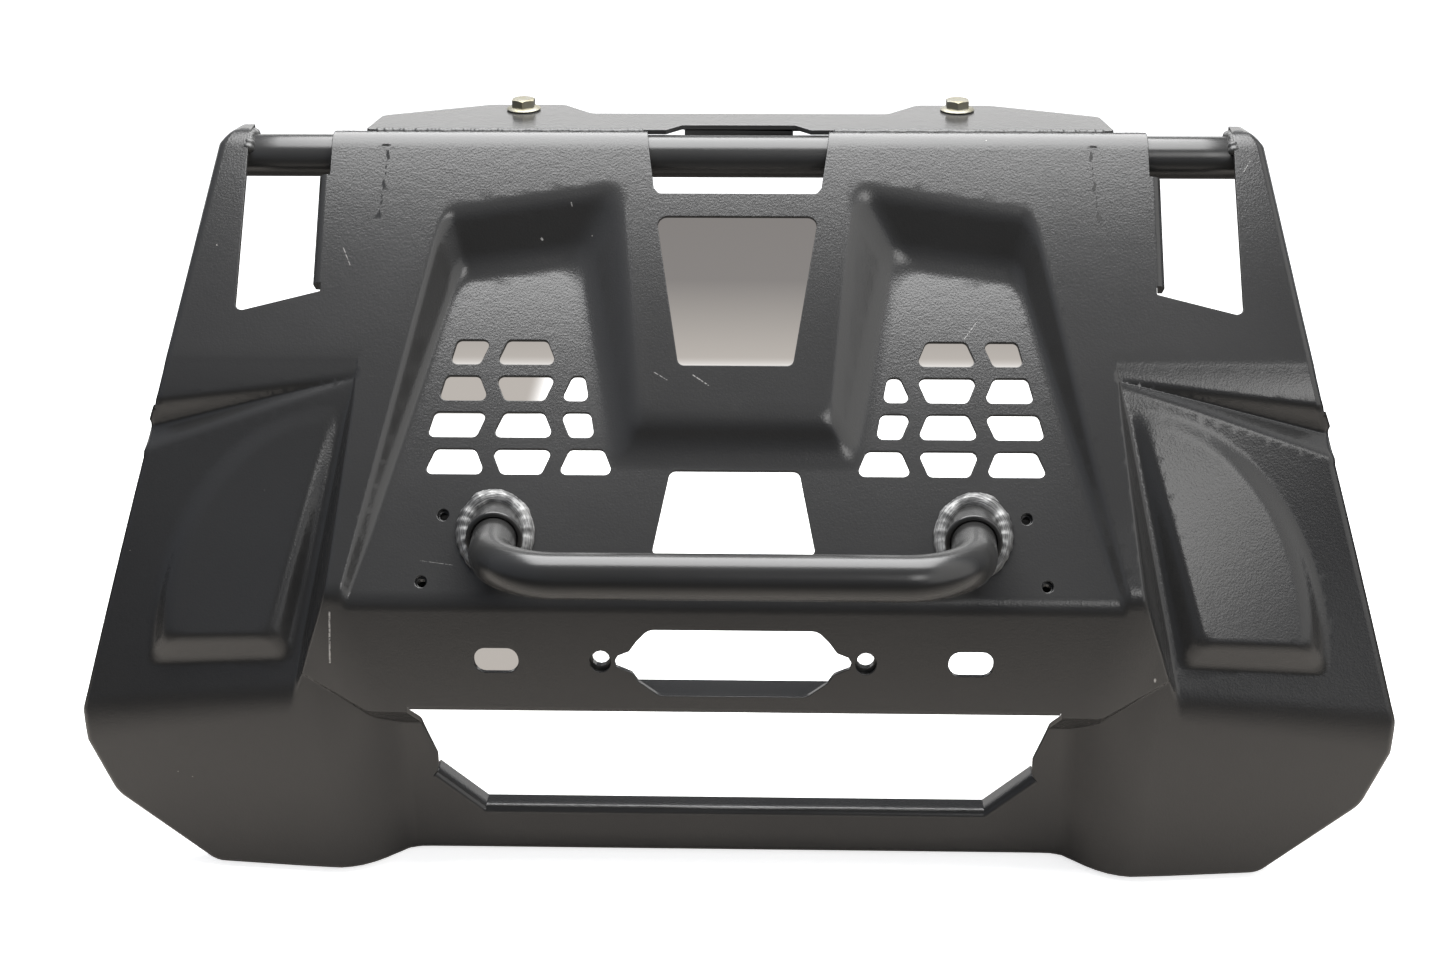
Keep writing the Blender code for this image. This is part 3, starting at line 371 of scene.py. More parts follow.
def rounded(points):
    """Polyline through (u, v, radius) points, with each corner turned by an arc."""
    line = []
    for index, (u, v, radius) in enumerate(points):
        here = Vector((u, v))
        if radius == 0 or index in (0, len(points) - 1):
            line.append(here)
            continue
        before = (Vector(points[index - 1][:2]) - here).normalized()
        after = (Vector(points[index + 1][:2]) - here).normalized()
        half = before.angle(after) / 2
        middle = here + (before + after).normalized() * (radius / math.sin(half))
        start = here + before * (radius / math.tan(half)) - middle
        sweep = start.angle_signed(here + after * (radius / math.tan(half)) - middle)
        for step in range(CORNER_STEPS + 1):
            line.append(middle + Matrix.Rotation(-sweep * step / CORNER_STEPS, 2) @ start)
    return line


def closed_rounded(corners, radius):
    """Closed loop of (u, v) corners, all turned by one radius, back to its first point."""
    ring = [corners[-1] + (0,)] + [corner + (radius,) for corner in corners] + [corners[0] + (0,)]
    line = rounded(ring)[1:-1]
    return line + [line[0]]


def circle(u, v, diameter, sides=40):
    angles = np.linspace(0, 2 * math.pi, sides + 1)
    return [Vector((u + diameter / 2 * math.cos(a), v + diameter / 2 * math.sin(a))) for a in angles]


# %% Half of the blank's outline: u, v and the corner's radius
NOTCH = ((0, -0.0275, 0), (0.0469, -0.0275, 0.003), (0.0498, -0.024, 0), (0.0531, 0, 0))
TOP_V = 0.0129
NOTCH_TOP_U = 0.0545
CROWN_U = 0.2440                    # end of the sheet's wrap over the tube
GRIP_U = 0.2454                     # folded side of the hand grip opening
GRIP_FOLD_END = -0.084
GRIP = ((0.2454, -0.0889, 0.001), (0.2951, -0.1019, 0.004), (0.2944, -0.0187, 0), (0.2945, 0.008, 0),
        (0.2955, 0.0200, 0))
HORN = (0.3005, 0.0200)
SIDE = ((0.3078, 0.0030, 0.006), (0.3234, -0.093, 0), (0.3312, -0.140, 0.010), (0.3349, -0.158, 0.004),
        (0.3420, -0.1700, 0.006), (0.3431, -0.1895, 0.010), (0.3858, -0.338, 0.010),
        (0.3850, -0.3555, 0), (0.3722, -0.3855, 0.015))
SKIRT_CORNER = 0.317                # u where the skirt's bottom edge starts
BAR_CORNER = 0.170                  # u where the bar's bottom edge runs straight
LIP_END = (0.154, 0.006)
OPENING = ((0.1835, -0.3761, 0), (0.1796, -0.3708, 0), (0.1796, -0.3619, 0), (0.1903, -0.3365, 0))
FLANGE_END = 0.1896
FAIRLEAD = ((0, -0.3246, 0), (0.0425, -0.3246, 0.009), (0.0545, -0.3165, 0), (0.0580, -0.3116, 0),
            (0.0629, -0.3096, 0), (0.0672, -0.3080, 0), (0.0680, -0.3050, 0), (0.0660, -0.3018, 0),
            (0.0595, -0.2994, 0), (0.0552, -0.2937, 0.004), (0.0483, -0.2871, 0.009), (0, -0.2871, 0))
LOW_WINDOW = ((0, -0.2436, 0), (0.0469, -0.2436, 0.003), (0.0374, -0.1945, 0.004), (0, -0.1945, 0))
WINDOW = ((0, -0.133, 0), (0.0333, -0.133, 0.004), (0.0480, -0.042, 0.0055), (0, -0.042, 0))


# %% The outline as named runs
def bottom_edge():
    """Points of the lowest edge, from the skirt's corner to the middle of the bar."""
    points = []
    curl = [0.240 - 0.0065 * step for step in range(9)]
    for u in [SKIRT_CORNER, 0.290, 0.265] + curl + [BAR_CORNER, 0]:
        z = float(np.interp(u, [BAR_CORNER + 0.015, 0.225], [BAR_BOTTOM, SKIRT_BOTTOM]))
        v = at_level(float(skirt_depth(np.float64(u))), z) + SIDE_FOLD * COS
        points.append((u, v, 0.012 if u == SKIRT_CORNER else 0))
    return points


def blank_runs():
    """Named runs of the half outline, clockwise from the middle of the top edge."""
    bottom = bottom_edge()
    bar_v = bottom[-1][1]
    lip_v = at_level(BAR_SET_BACK - NOSE_REACH, LIP_TOP) - LIP_FOLD * COS
    flange_v = NOSE_BOTTOM + LIP_FOLD * COS
    lip_top = -TUBE_D / 2 - 0.0035
    return [
        ("notch", [*NOTCH, (NOTCH_TOP_U, TOP_V, 0)]),
        ("top", [(NOTCH_TOP_U, TOP_V, 0), (CROWN_U, TOP_V, 0.0015), (CROWN_U, lip_top, 0),
                 (GRIP_U, lip_top, 0)]),
        ("grip lip", [(GRIP_U, lip_top, 0), (GRIP_U, GRIP_FOLD_END, 0)]),
        ("grip", [(GRIP_U, GRIP_FOLD_END, 0), *GRIP, (*HORN, 0)]),
        ("side", [(*HORN, 0), *SIDE, *bottom]),
        ("middle", [(0, bar_v, 0), (0, lip_v, 0)]),
        ("lip", [(0, lip_v, 0), (LIP_END[0], lip_v, LIP_END[1]), OPENING[0]]),
        ("opening", [*OPENING, (FLANGE_END, flange_v, 0)]),
        ("nose flange", [(FLANGE_END, flange_v, 0), (0, flange_v, 0)]),
        ("middle", [(0, flange_v, 0), FAIRLEAD[0]]),
        ("fairlead", FAIRLEAD),
        ("middle", [FAIRLEAD[-1], LOW_WINDOW[0]]),
        ("low window", LOW_WINDOW),
        ("middle", [LOW_WINDOW[-1], WINDOW[0]]),
        ("window", WINDOW),
        ("middle", [WINDOW[-1], NOTCH[0]]),
    ]


print("Runs of the outline:", ", ".join(name for name, _ in blank_runs()))

# %% Cells of the grille, and the other holes
def web_edge(line, row, end, side):
    """Edge of a slanted web between two cells, at its top (1) or its bottom (-1)."""
    lean = WEB_LEAN if (row + line) % 2 else -WEB_LEAN
    return WEB_LINES[line] + side * WEB_HALF + lean * end


def grille_cells():
    cells = []
    for row in range(4):
        top = GRILLE_TOP - row * GRILLE_PITCH
        for column in range(3):
            if row == 0 and column == 0:
                continue
            corners = []
            for end, v in ((1, top), (-1, top - GRILLE_TALL)):
                inner = web_edge(column, row, end, 1)
                outer = web_edge(column + 1, row, end, -1)
                if row < 3 and column == 0:
                    inner = GRILLE_INNER[0] + GRILLE_INNER[1] * (v - GRILLE_TOP)
                if row < 3 and column == 2:
                    outer = GRILLE_OUTER[0] + GRILLE_OUTER[1] * (v - GRILLE_TOP)
                corners.append(((inner, v), (outer, v)))
            (top_in, top_out), (low_in, low_out) = corners
            cells.append(closed_rounded([top_in, top_out, low_out, low_in], GRILLE_CORNER))
    return cells


def holes():
    half = SLOT_LENGTH / 2
    tall = SLOT_WIDE / 2
    slot = [(SLOT_U - half, SLOT_V + tall), (SLOT_U + half, SLOT_V + tall),
            (SLOT_U + half, SLOT_V - tall), (SLOT_U - half, SLOT_V - tall)]
    found = grille_cells() + [closed_rounded(slot, 0.0065), circle(FAIRLEAD_U, SLOT_V, FAIRLEAD_HOLE_D)]
    return found + [circle(u, v, SCREW_HOLE_D, 28) for u, v in SCREW_HOLES]


print("Holes in each half:", len(holes()))

# %% [markdown]
# To show a soft crease, a mesh needs many small faces along it and few on the flats. A
# quadtree does that: points lie on a coarse lattice, and a finer lattice adds points only
# where the sheet would bow away from a straight facet. A constrained Delaunay triangulation
# then joins them and keeps every cut edge.

# %% Points of the blank
LATTICE = (0.0064, 0.0032, 0.0016, 0.0008)
FACET_BOW = 0.00009
BOW_AT_LEVEL = (0, 0.3, 0.7, 1.0)


def facet_bow(u, v, reach):
    """How far the sheet lies from a straight facet that reaches this far both ways."""
    here = surface(u, v)
    bow = np.zeros_like(here)
    for du, dv in ((1, 0), (0, 1), (0.7, 0.7), (0.7, -0.7)):
        far = surface(u + du * reach, v + dv * reach) + surface(u - du * reach, v - dv * reach)
        bow = np.maximum(bow, np.abs(far / 2 - here))
    slope_u = (surface(u + reach, v) - surface(u - reach, v)) / (2 * reach)
    slope_v = (surface(u, v + reach) - surface(u, v - reach)) / (2 * reach)
    return bow / np.sqrt(1 + slope_u ** 2 + slope_v ** 2)


def lattice_points():
    found = []
    for level, step in enumerate(LATTICE):
        columns = np.arange(1, int(0.39 / step))
        rows = np.arange(int(-0.41 / step), int(0.02 / step))
        column, row = (grid.ravel() for grid in np.meshgrid(columns, rows))
        u, v = column * step, row * step
        keep = np.ones(len(u), bool)
        if level:
            fresh = (column % 2 == 1) | (row % 2 == 1)
            keep = fresh & (facet_bow(u, v, step) > FACET_BOW * BOW_AT_LEVEL[level])
        found.append(np.column_stack([u, v])[keep])
    return np.concatenate(found)


def split_run(line, longest=0.0035):
    """Adds points to a polyline until it follows the sheet closely."""
    done = [line[0]]
    for end in line[1:]:
        pieces = [end]
        while pieces:
            start, target = done[-1], pieces[-1]
            middle = (start + target) / 2
            ends = sheet_points([start, target, middle])
            bow = np.linalg.norm((ends[0] + ends[1]) / 2 - ends[2])
            far = (target - start).length
            if (bow > FACET_BOW and far > 0.0009) or far > longest:
                pieces.append(middle)
            else:
                done.append(pieces.pop())
    return done


# %% Triangles of the blank
def inside(points, loops):
    """Which points lie inside the outer loop and outside the holes."""
    hits = np.zeros(len(points), int)
    for loop in loops:
        ring = np.array([tuple(p) for p in loop])
        for (x0, y0), (x1, y1) in zip(ring, np.roll(ring, -1, axis=0)):
            if y0 != y1:
                crosses = (points[:, 1] > min(y0, y1)) & (points[:, 1] <= max(y0, y1))
                x = x0 + (points[:, 1] - y0) * (x1 - x0) / (y1 - y0)
                hits += crosses & (x > points[:, 0])
    return hits % 2 == 1


def fill(loops, clear=0.0011):
    """Flat points and triangles of the blank, and where each border point ended up."""
    border, edges = [], []
    for loop in loops:
        first = len(border)
        border += loop
        edges += [(first + i, first + (i + 1) % len(loop)) for i in range(len(loop))]
    near = KDTree(len(border))
    for index, spot in enumerate(border):
        near.insert((*spot, 0), index)
    near.balance()
    extra = lattice_points()
    extra = extra[inside(extra, loops)]
    extra = [Vector(p) for p in extra.tolist() if near.find((*p, 0))[2] > clear]
    points, _, faces, origins, _, _ = delaunay_2d_cdt(border + extra, edges, [], 0, 1e-7)
    flat = np.array([tuple(p) for p in points])
    tris = np.array(faces)
    tris = tris[inside(flat[tris].mean(axis=1), loops)]
    place = {source: index for index, sources in enumerate(origins) for source in sources}
    return flat, tris, place


outer, runs = [], []
for run_name, run_points in blank_runs():
    run_line = split_run(rounded(run_points))
    runs.append((run_name, len(outer), len(run_line)))
    outer += run_line[:-1]
hole_loops = [split_run(loop)[:-1] for loop in holes()]
flat, tris, place = fill([outer] + hole_loops)
print("Half blank:", len(flat), "points,", len(tris), "triangles")

# %% [markdown]
# A press brake, or the press itself, folds the edges back. A fold is a strip that grows out of
# a run of the outline: it turns through an arc of the bend radius, and ends in a short
# straight lip. The side lip's direction changes from the horn down to the skirt.

# %% How each run is folded
LIP_V = (-0.345, -0.315, -0.18, -0.12, 0.0025, CROWN_R * COS)
LIP_DEGREES = (3, 24, 27, 39, 39, 90)


def fold_angle(v):
    """How far below level the side lip points back."""
    return np.radians(np.interp(v, LIP_V, LIP_DEGREES))


def slanted_back(v):
    return np.stack([0 * v, np.cos(fold_angle(v)), -np.sin(fold_angle(v))], axis=-1)


def straight_back(v):
    return np.stack([0 * v, 0 * v + 1, 0 * v], axis=-1)


FOLDS = {
    "side": (SIDE_FOLD, lambda v: np.interp(v, [-0.03, 0.004], [SIDE_LIP, 0.0008]), slanted_back),
    "lip": (LIP_FOLD, lambda v: 0 * v + LIP_DEEP, straight_back),
    "nose flange": (LIP_FOLD, lambda v: 0 * v + NOSE_FLANGE, straight_back),
    "grip lip": (SIDE_FOLD, lambda v: 0 * v + GRIP_LIP, slanted_back),
}
BEND_STEPS = 7
LIP_STEPS = 3


def unit(vectors):
    return vectors / np.maximum(np.linalg.norm(vectors, axis=-1, keepdims=True), 1e-12)


# %% Grow the strips
def fold_strip(points, normals, flat_run, fold):
    """Rows of points and normals of a strip that bends back along one run."""
    radius, depth, direction = fold
    v = flat_run[:, 1]
    along = unit(np.gradient(points, axis=0))
    out = np.cross(normals, along)
    out[flat_run[:, 0] == 0, 0] = 0
    out = unit(out)
    aim = direction(v)
    lean = (out * aim).sum(axis=1, keepdims=True)
    side = unit(aim - out * lean)
    turn = np.arccos(np.clip(lean, -1, 1))
    rows = [points]
    for step in range(1, BEND_STEPS + 1):
        angle = turn * step / BEND_STEPS
        rows.append(points + out * radius * np.sin(angle) + side * radius * (1 - np.cos(angle)))
    bent = rows[-1]
    for step in range(1, LIP_STEPS + 1):
        rows.append(bent + aim * (depth(v) * step / LIP_STEPS)[:, None])
    rows = np.array(rows)
    across = np.gradient(rows, axis=0)
    across[BEND_STEPS] = rows[BEND_STEPS] - rows[BEND_STEPS - 1]
    facing = unit(np.cross(np.gradient(rows, axis=1), across))
    facing[0] = normals
    middle = np.nonzero(flat_run[:, 0] == 0)[0]
    facing[:, middle, 0] = 0
    return rows, unit(facing)


points = sheet_points(flat)
normals = sheet_normals(flat)
normals[flat[:, 0] == 0, 0] = 0
faces = [tuple(tri) for tri in tris.tolist()]
for run_name, first, count in runs:
    if run_name in FOLDS:
        ids = np.array([place[(first + step) % len(outer)] for step in range(count)])
        rows, facing = fold_strip(points[ids], normals[ids], flat[ids], FOLDS[run_name])
        fresh = len(points) + np.arange(rows[1:].shape[0] * count).reshape(-1, count)
        grid = np.vstack([ids, fresh])
        points = np.vstack([points, rows[1:].reshape(-1, 3)])
        normals = np.vstack([normals, facing[1:].reshape(-1, 3)])
        quads = np.dstack([grid[:-1, :-1], grid[:-1, 1:], grid[1:, 1:], grid[1:, :-1]])
        faces += [tuple(quad) for quad in quads.reshape(-1, 4).tolist()]
print("Half sheet with its folds:", len(points), "points")

# %% [markdown]
# Paint pulls back from a sharp edge and rounds it, and that thin rounded line is what catches
# the light. So the sheet gets its thickness by hand: the other half is mirrored, the back face
# is the front face moved in along the normals, and every free edge gets a rounded rim.

# %% Mirror, thicken and round the rims
RIM = 0.00045
RIM_ANGLES = np.radians([0, 45, 90, 90, 135, 180])


def mirrored(points, normals, faces):
    on_middle = np.abs(points[:, 0]) < 1e-6
    twin = np.where(on_middle, np.arange(len(points)), len(points) + np.cumsum(~on_middle) - 1)
    flip = np.array([-1, 1, 1])
    points = np.vstack([points, points[~on_middle] * flip])
    normals = np.vstack([normals, normals[~on_middle] * flip])
    return points, normals, faces + [tuple(int(twin[i]) for i in reversed(face)) for face in faces]


def free_edges(faces, count):
    """Directed edges that belong to one face only."""
    pairs = np.array([(a, b) for face in faces for a, b in zip(face, face[1:] + face[:1])])
    keys = pairs[:, 0] * count + pairs[:, 1]
    return pairs[~np.isin(keys, pairs[:, 1] * count + pairs[:, 0])]


def thickened(points, normals, faces):
    rim = free_edges(faces, len(points))
    edge_out = unit(np.cross(points[rim[:, 1]] - points[rim[:, 0]], normals[rim[:, 0]]))
    total = np.zeros_like(points)
    np.add.at(total, rim[:, 0], edge_out)
    np.add.at(total, rim[:, 1], edge_out)
    ids = np.unique(rim)
    out = unit(total[ids])
    corner = np.array([points[ids], normals[ids]])
    rows, facing = [], []
    for step, angle in enumerate(RIM_ANGLES):
        back = RIM * (1 - math.cos(angle)) if step < 3 else SHEET - RIM * (1 + math.cos(angle))
        rows.append(corner[0] - out * RIM * (1 - math.sin(angle)) - corner[1] * back)
        facing.append(unit(corner[1] * math.cos(angle) + out * math.sin(angle)))
    count = len(points)
    front = points.copy()
    front[ids] = rows[0]
    rear = points - normals * SHEET
    rear[ids] = rows[-1]
    where = np.zeros(count, int)
    where[ids] = np.arange(len(ids))
    start = 2 * count
    grid = [ids] + [start + k * len(ids) + np.arange(len(ids)) for k in range(4)] + [ids + count]
    skin = list(faces) + [tuple(i + count for i in reversed(face)) for face in faces]
    a, b = where[rim[:, 0]], where[rim[:, 1]]
    for near_row, far_row in zip(grid, grid[1:]):
        skin += np.column_stack([near_row[b], near_row[a], far_row[a], far_row[b]]).tolist()
    points = np.vstack([front, rear] + rows[1:-1])
    normals = np.vstack([normals, -normals] + facing[1:-1])
    return points, normals, skin


# %% The sheet as one piece
PARTS = bpy.data.collections.new("Bumper pieces")
bpy.context.scene.collection.children.link(PARTS)


def add_piece(name, mesh, slot, *nodes):
    """Puts a finished mesh in the scene, riding on the frame in place of its CAD nodes."""
    piece = bpy.data.objects.new(name, mesh)
    PARTS.objects.link(piece)
    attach(piece, "root")
    if nodes:
        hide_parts(*nodes)
    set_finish(piece, slot)
    return piece


skin_points, skin_normals, skin_faces = thickened(*mirrored(points, normals, faces))
mesh = bpy.data.meshes.new("pressed sheet")
mesh.from_pydata(skin_points.tolist(), [], skin_faces)
mesh.shade_smooth()
mesh.normals_split_custom_set_from_vertices(unit(skin_normals).tolist())
add_piece("pressed_sheet", mesh, "sheet_paint", "shell")
print("Pressed sheet:", sum(len(p.vertices) - 2 for p in mesh.polygons), "triangles")

# %% [markdown]
# Tubes, sleeves and bolts are round. A closed skin through a cycle of rings makes all of them:
# the outside goes one way, the rounded rim turns in, and the inside comes back.

# %% Skins made of rings
def ring_mesh(name, rings):
    """Closed mesh through a cycle of rings with the same number of points each."""
    rings = np.asarray(rings, float)
    index = np.arange(rings.shape[0] * rings.shape[1]).reshape(rings.shape[:2])
    nxt = np.roll(index, -1, axis=0)
    quads = np.dstack([index, np.roll(index, -1, axis=1), np.roll(nxt, -1, axis=1), nxt])
    mesh = bpy.data.meshes.new(name)
    mesh.from_pydata(rings.reshape(-1, 3).tolist(), [], quads.reshape(-1, 4).tolist())
    return cleaned(mesh)


def cleaned(mesh, sharp=50):
    """Merges doubles, closes the poles and turns all faces outwards."""
    work = bmesh.new()
    work.from_mesh(mesh)
    bmesh.ops.remove_doubles(work, verts=work.verts, dist=0.000002)
    bmesh.ops.dissolve_degenerate(work, edges=work.edges, dist=0.000001)
    bmesh.ops.recalc_face_normals(work, faces=work.faces)
    work.to_mesh(mesh)
    work.free()
    mesh.shade_smooth()
    mesh.set_sharp_from_angle(angle=math.radians(sharp))
    return mesh


def swept_rings(path, diameter, wall, sides=64, rim=0.0005):
    """Rings of an open-ended tube along a path of points."""
    path = np.asarray(path, float)
    along = unit(np.gradient(path, axis=0))
    up = unit(np.cross(along[0], (0.1, 0.2, 1)))
    frames = []
    for direction in along:
        up = unit(up - direction * up.dot(direction))
        frames.append((up, np.cross(direction, up)))
    outer_r, inner_r, last = diameter / 2, diameter / 2 - wall, len(path) - 1
    turn = [(rim * (1 - math.sin(a)), rim * (1 - math.cos(a))) for a in np.radians([0, 45, 90])]
    stations = [(i, 0, outer_r) for i in range(1, last)]
    stations += [(last, -in_, outer_r - off) for in_, off in turn]
    stations += [(last, -in_, inner_r + off) for in_, off in reversed(turn)]
    stations += [(i, 0, inner_r) for i in range(last - 1, 0, -1)]
    stations += [(0, in_, inner_r + off) for in_, off in turn]
    stations += [(0, in_, outer_r - off) for in_, off in reversed(turn)]
    angles = np.linspace(0, 2 * math.pi, sides, endpoint=False)
    rings = []
    for i, shift, radius in stations:
        x, y = frames[i]
        rings.append([path[i] + along[i] * shift + radius * (math.cos(a) * x + math.sin(a) * y)
                      for a in angles])
    return rings


def turned(name, profile, sides=64):
    """Closed mesh turned about Z from a closed profile of (radius, z) points."""
    angles = np.linspace(0, 2 * math.pi, sides, endpoint=False)
    rings = [[(r * math.cos(a), r * math.sin(a), z) for a in angles] for r, z in profile]
    return ring_mesh(name, rings)


# %% The cross tube
tube_path = [(x, 0, 0) for x in np.linspace(tube_low.x, tube_high.x, 25)]
mesh = ring_mesh("cross tube", swept_rings(tube_path, TUBE_D, TUBE_WALL))
add_piece("cross_tube", mesh, "tube_paint", "top_tube")
print("Cross tube:", len(mesh.vertices), "points")

# %% [markdown]
# The bull bar is one tube bent twice. Its legs leave the sheet at a slant, so the script first
# finds where a leg's foot stands, and builds a small frame there: Z along the leg, X as near
# as it can to the bumper's own X. The sleeve and the weld use the same frame.

# %% Where the legs stand
LEG_FOOT_U = 0.1368
LEG_FOOT_V = -0.2319
BAR_LEG = 0.0742
BAR_RISE = math.radians(8.4)
BAR_HALF = 0.1315
BEND_R = 0.041
SLEEVE_D = 0.0325
SLEEVE_STANDS = 0.0125
WELD_LEG = 0.0048


def frame_at(origin, normal, across=Vector((1, 0, 0))):
    """Matrix whose Z is the normal and whose X lies as near as it can to across."""
    z = Vector(normal).normalized()
    y = z.cross(across).normalized()
    matrix = Matrix((y.cross(z), y, z)).transposed().to_4x4()
    matrix.translation = origin
    return matrix


foot = Vector(sheet_points([(LEG_FOOT_U, LEG_FOOT_V)])[0])
foot_normal = Vector(sheet_normals([(LEG_FOOT_U, LEG_FOOT_V)])[0])
leg = Vector((BAR_HALF - LEG_FOOT_U, -BAR_LEG * math.cos(BAR_RISE), BAR_LEG * math.sin(BAR_RISE)))
leg.normalize()
leg_frame = frame_at(foot, leg)
normal_on_leg = leg_frame.to_3x3().inverted() @ foot_normal
print("Leg leans from the sheet by", round(math.degrees(leg.angle(foot_normal)), 1), "degrees")


# %% The bull bar
def bar_path(steps=22):
    start = foot + leg * (TUBE_D / 2 * math.tan(leg.angle(foot_normal)) + 4 * SEAT)
    corner = foot + leg * BAR_LEG
    corner.x = BAR_HALF
    across = Vector((-1, 0, 0))
    half = (-leg).angle(across) / 2
    reach = BEND_R / math.tan(half)
    middle = corner + (across - leg).normalized() * (BEND_R / math.sin(half))
    first, final = corner - leg * reach, corner + across * reach
    axis = (first - middle).cross(final - middle)
    sweep = (first - middle).angle(final - middle)
    right = [start, start.lerp(first, 0.5)]
    for step in range(steps + 1):
        right.append(middle + Matrix.Rotation(sweep * step / steps, 3, axis) @ (first - middle))
    straight = [final.lerp(Vector((-final.x, final.y, final.z)), share) for share in (0.25, 0.5, 0.75)]
    return right + straight + [Vector((-p.x, p.y, p.z)) for p in reversed(right)]


mesh = ring_mesh("bull bar", swept_rings(bar_path(), TUBE_D, TUBE_WALL))
add_piece("bull_bar_tube", mesh, "tube_paint", "bull_bar")
print("Bull bar:", len(mesh.vertices), "points")


# %% The sleeves around its legs
def on_both_sides(mesh, name, slot, place=Matrix(), node=None):
    """The same piece on the left and the right, each mirrored from the other."""
    made = []
    for side, label in ((-1, "left"), (1, "right")):
        copy = mesh.copy()
        copy.transform(place)
        if side < 0:
            copy.transform(Matrix.Diagonal((-1, 1, 1, 1)))
            copy.flip_normals()
        replaced = [f"{node}_{label}"] if node else []
        made.append(add_piece(f"{name}_{label}", copy, slot, *replaced))
    return made


def sleeve_mesh():
    bore, outer_r, foot_z, edge = TUBE_D / 2 + 2 * SEAT, SLEEVE_D / 2, 0.0004, 0.0012
    arc = [(outer_r - edge * (1 - math.cos(a)), SLEEVE_STANDS - edge * (1 - math.sin(a)))
           for a in np.radians([0, 22, 45, 68, 90])]
    profile = [(bore, foot_z), (outer_r, foot_z)] + arc + [(bore + 0.0004, SLEEVE_STANDS),
                                                           (bore, SLEEVE_STANDS - 0.0004)]
    mesh = turned("sleeve", profile)
    for vert in mesh.vertices:
        if vert.co.z < foot_z + 0.0001:
            vert.co.z -= (normal_on_leg.x * vert.co.x + normal_on_leg.y * vert.co.y) / normal_on_leg.z
    return mesh


sleeves = on_both_sides(sleeve_mesh(), "sleeve", "tube_paint", leg_frame, "collar")
print("Sleeves:", [sleeve.name for sleeve in sleeves])

# %% [markdown]
# A weld bead is laid drop by drop, so it is a rule: one drop every few millimetres along a
# path, each a little different. Geometry Nodes place the drops along a curve. A voxel remesh
# then melts them together, which gives the ripples their soft valleys.

# %% Node helpers
def node(tree, kind, settings=None, **sockets):
    """Adds a node, sets its properties, and fills or links its inputs by name."""
    made = tree.nodes.new(kind)
    for key, value in (settings or {}).items():
        setattr(made, key, value)
    for key, value in sockets.items():
        index = int(key[1:]) if key[0] == "i" and key[1:].isdigit() else key.replace("_", " ")
        socket = made.inputs[index]
        if isinstance(value, bpy.types.NodeSocket):
            tree.links.new(value, socket)
        else:
            socket.default_value = value
    return made


def math_node(tree, operation, a, b=0.0, clamp=False):
    settings = {"operation": operation, "use_clamp": clamp}
    return node(tree, "ShaderNodeMath", settings, i0=a, i1=b).outputs[0]


def vector_node(tree, operation, a, **others):
    """Vector result of an operation, and its plain number where it has one."""
    return node(tree, "ShaderNodeVectorMath", {"operation": operation}, i0=a, **others).outputs


def new_tree(name, kind, inputs, outputs):
    """Node group with its named sockets, and its input and output nodes."""
    tree = bpy.data.node_groups.new(name, kind)
    for label, socket_type, value in inputs:
        socket = tree.interface.new_socket(label, in_out="INPUT", socket_type=socket_type)
        if value is not None:
            socket.default_value = value
    for label, socket_type in outputs:
        tree.interface.new_socket(label, in_out="OUTPUT", socket_type=socket_type)
    return tree, tree.nodes.new("NodeGroupInput").outputs, tree.nodes.new("NodeGroupOutput").inputs


def finished_tree(tree, given, result, shapes):
    """Closes a tree: instances become real, get their material and go out."""
    real = node(tree, "GeometryNodeRealizeInstances", Geometry=shapes.outputs[0])
    painted = node(tree, "GeometryNodeSetMaterial", Geometry=real.outputs[0],
                   Material=given["Material"])
    tree.links.new(painted.outputs[0], result["Geometry"])
    return tree


def run_tree(tree, mesh, values, name):
    """Runs a tree on a mesh and gives back the plain mesh that it makes."""
    holder = bpy.data.objects.new(name, mesh)
    bpy.context.scene.collection.objects.link(holder)
    modifier = holder.modifiers.new("Tree", "NODES")
    modifier.node_group = tree
    for item in tree.interface.items_tree:
        if item.in_out == "INPUT" and item.name in values:
            modifier[item.identifier] = values[item.name]
    return applied(holder)


def applied(holder):
    """Plain mesh of an object with its modifiers worked out; the object is removed."""
    bpy.context.view_layer.update()
    graph = bpy.context.evaluated_depsgraph_get()
    mesh = bpy.data.meshes.new_from_object(holder.evaluated_get(graph))
    holder.modifiers.clear()
    bpy.data.objects.remove(holder)
    return mesh


# %% The tree that lays a bead
DROP_FLAT = 0.75                    # a drop's length along the bead, against its width


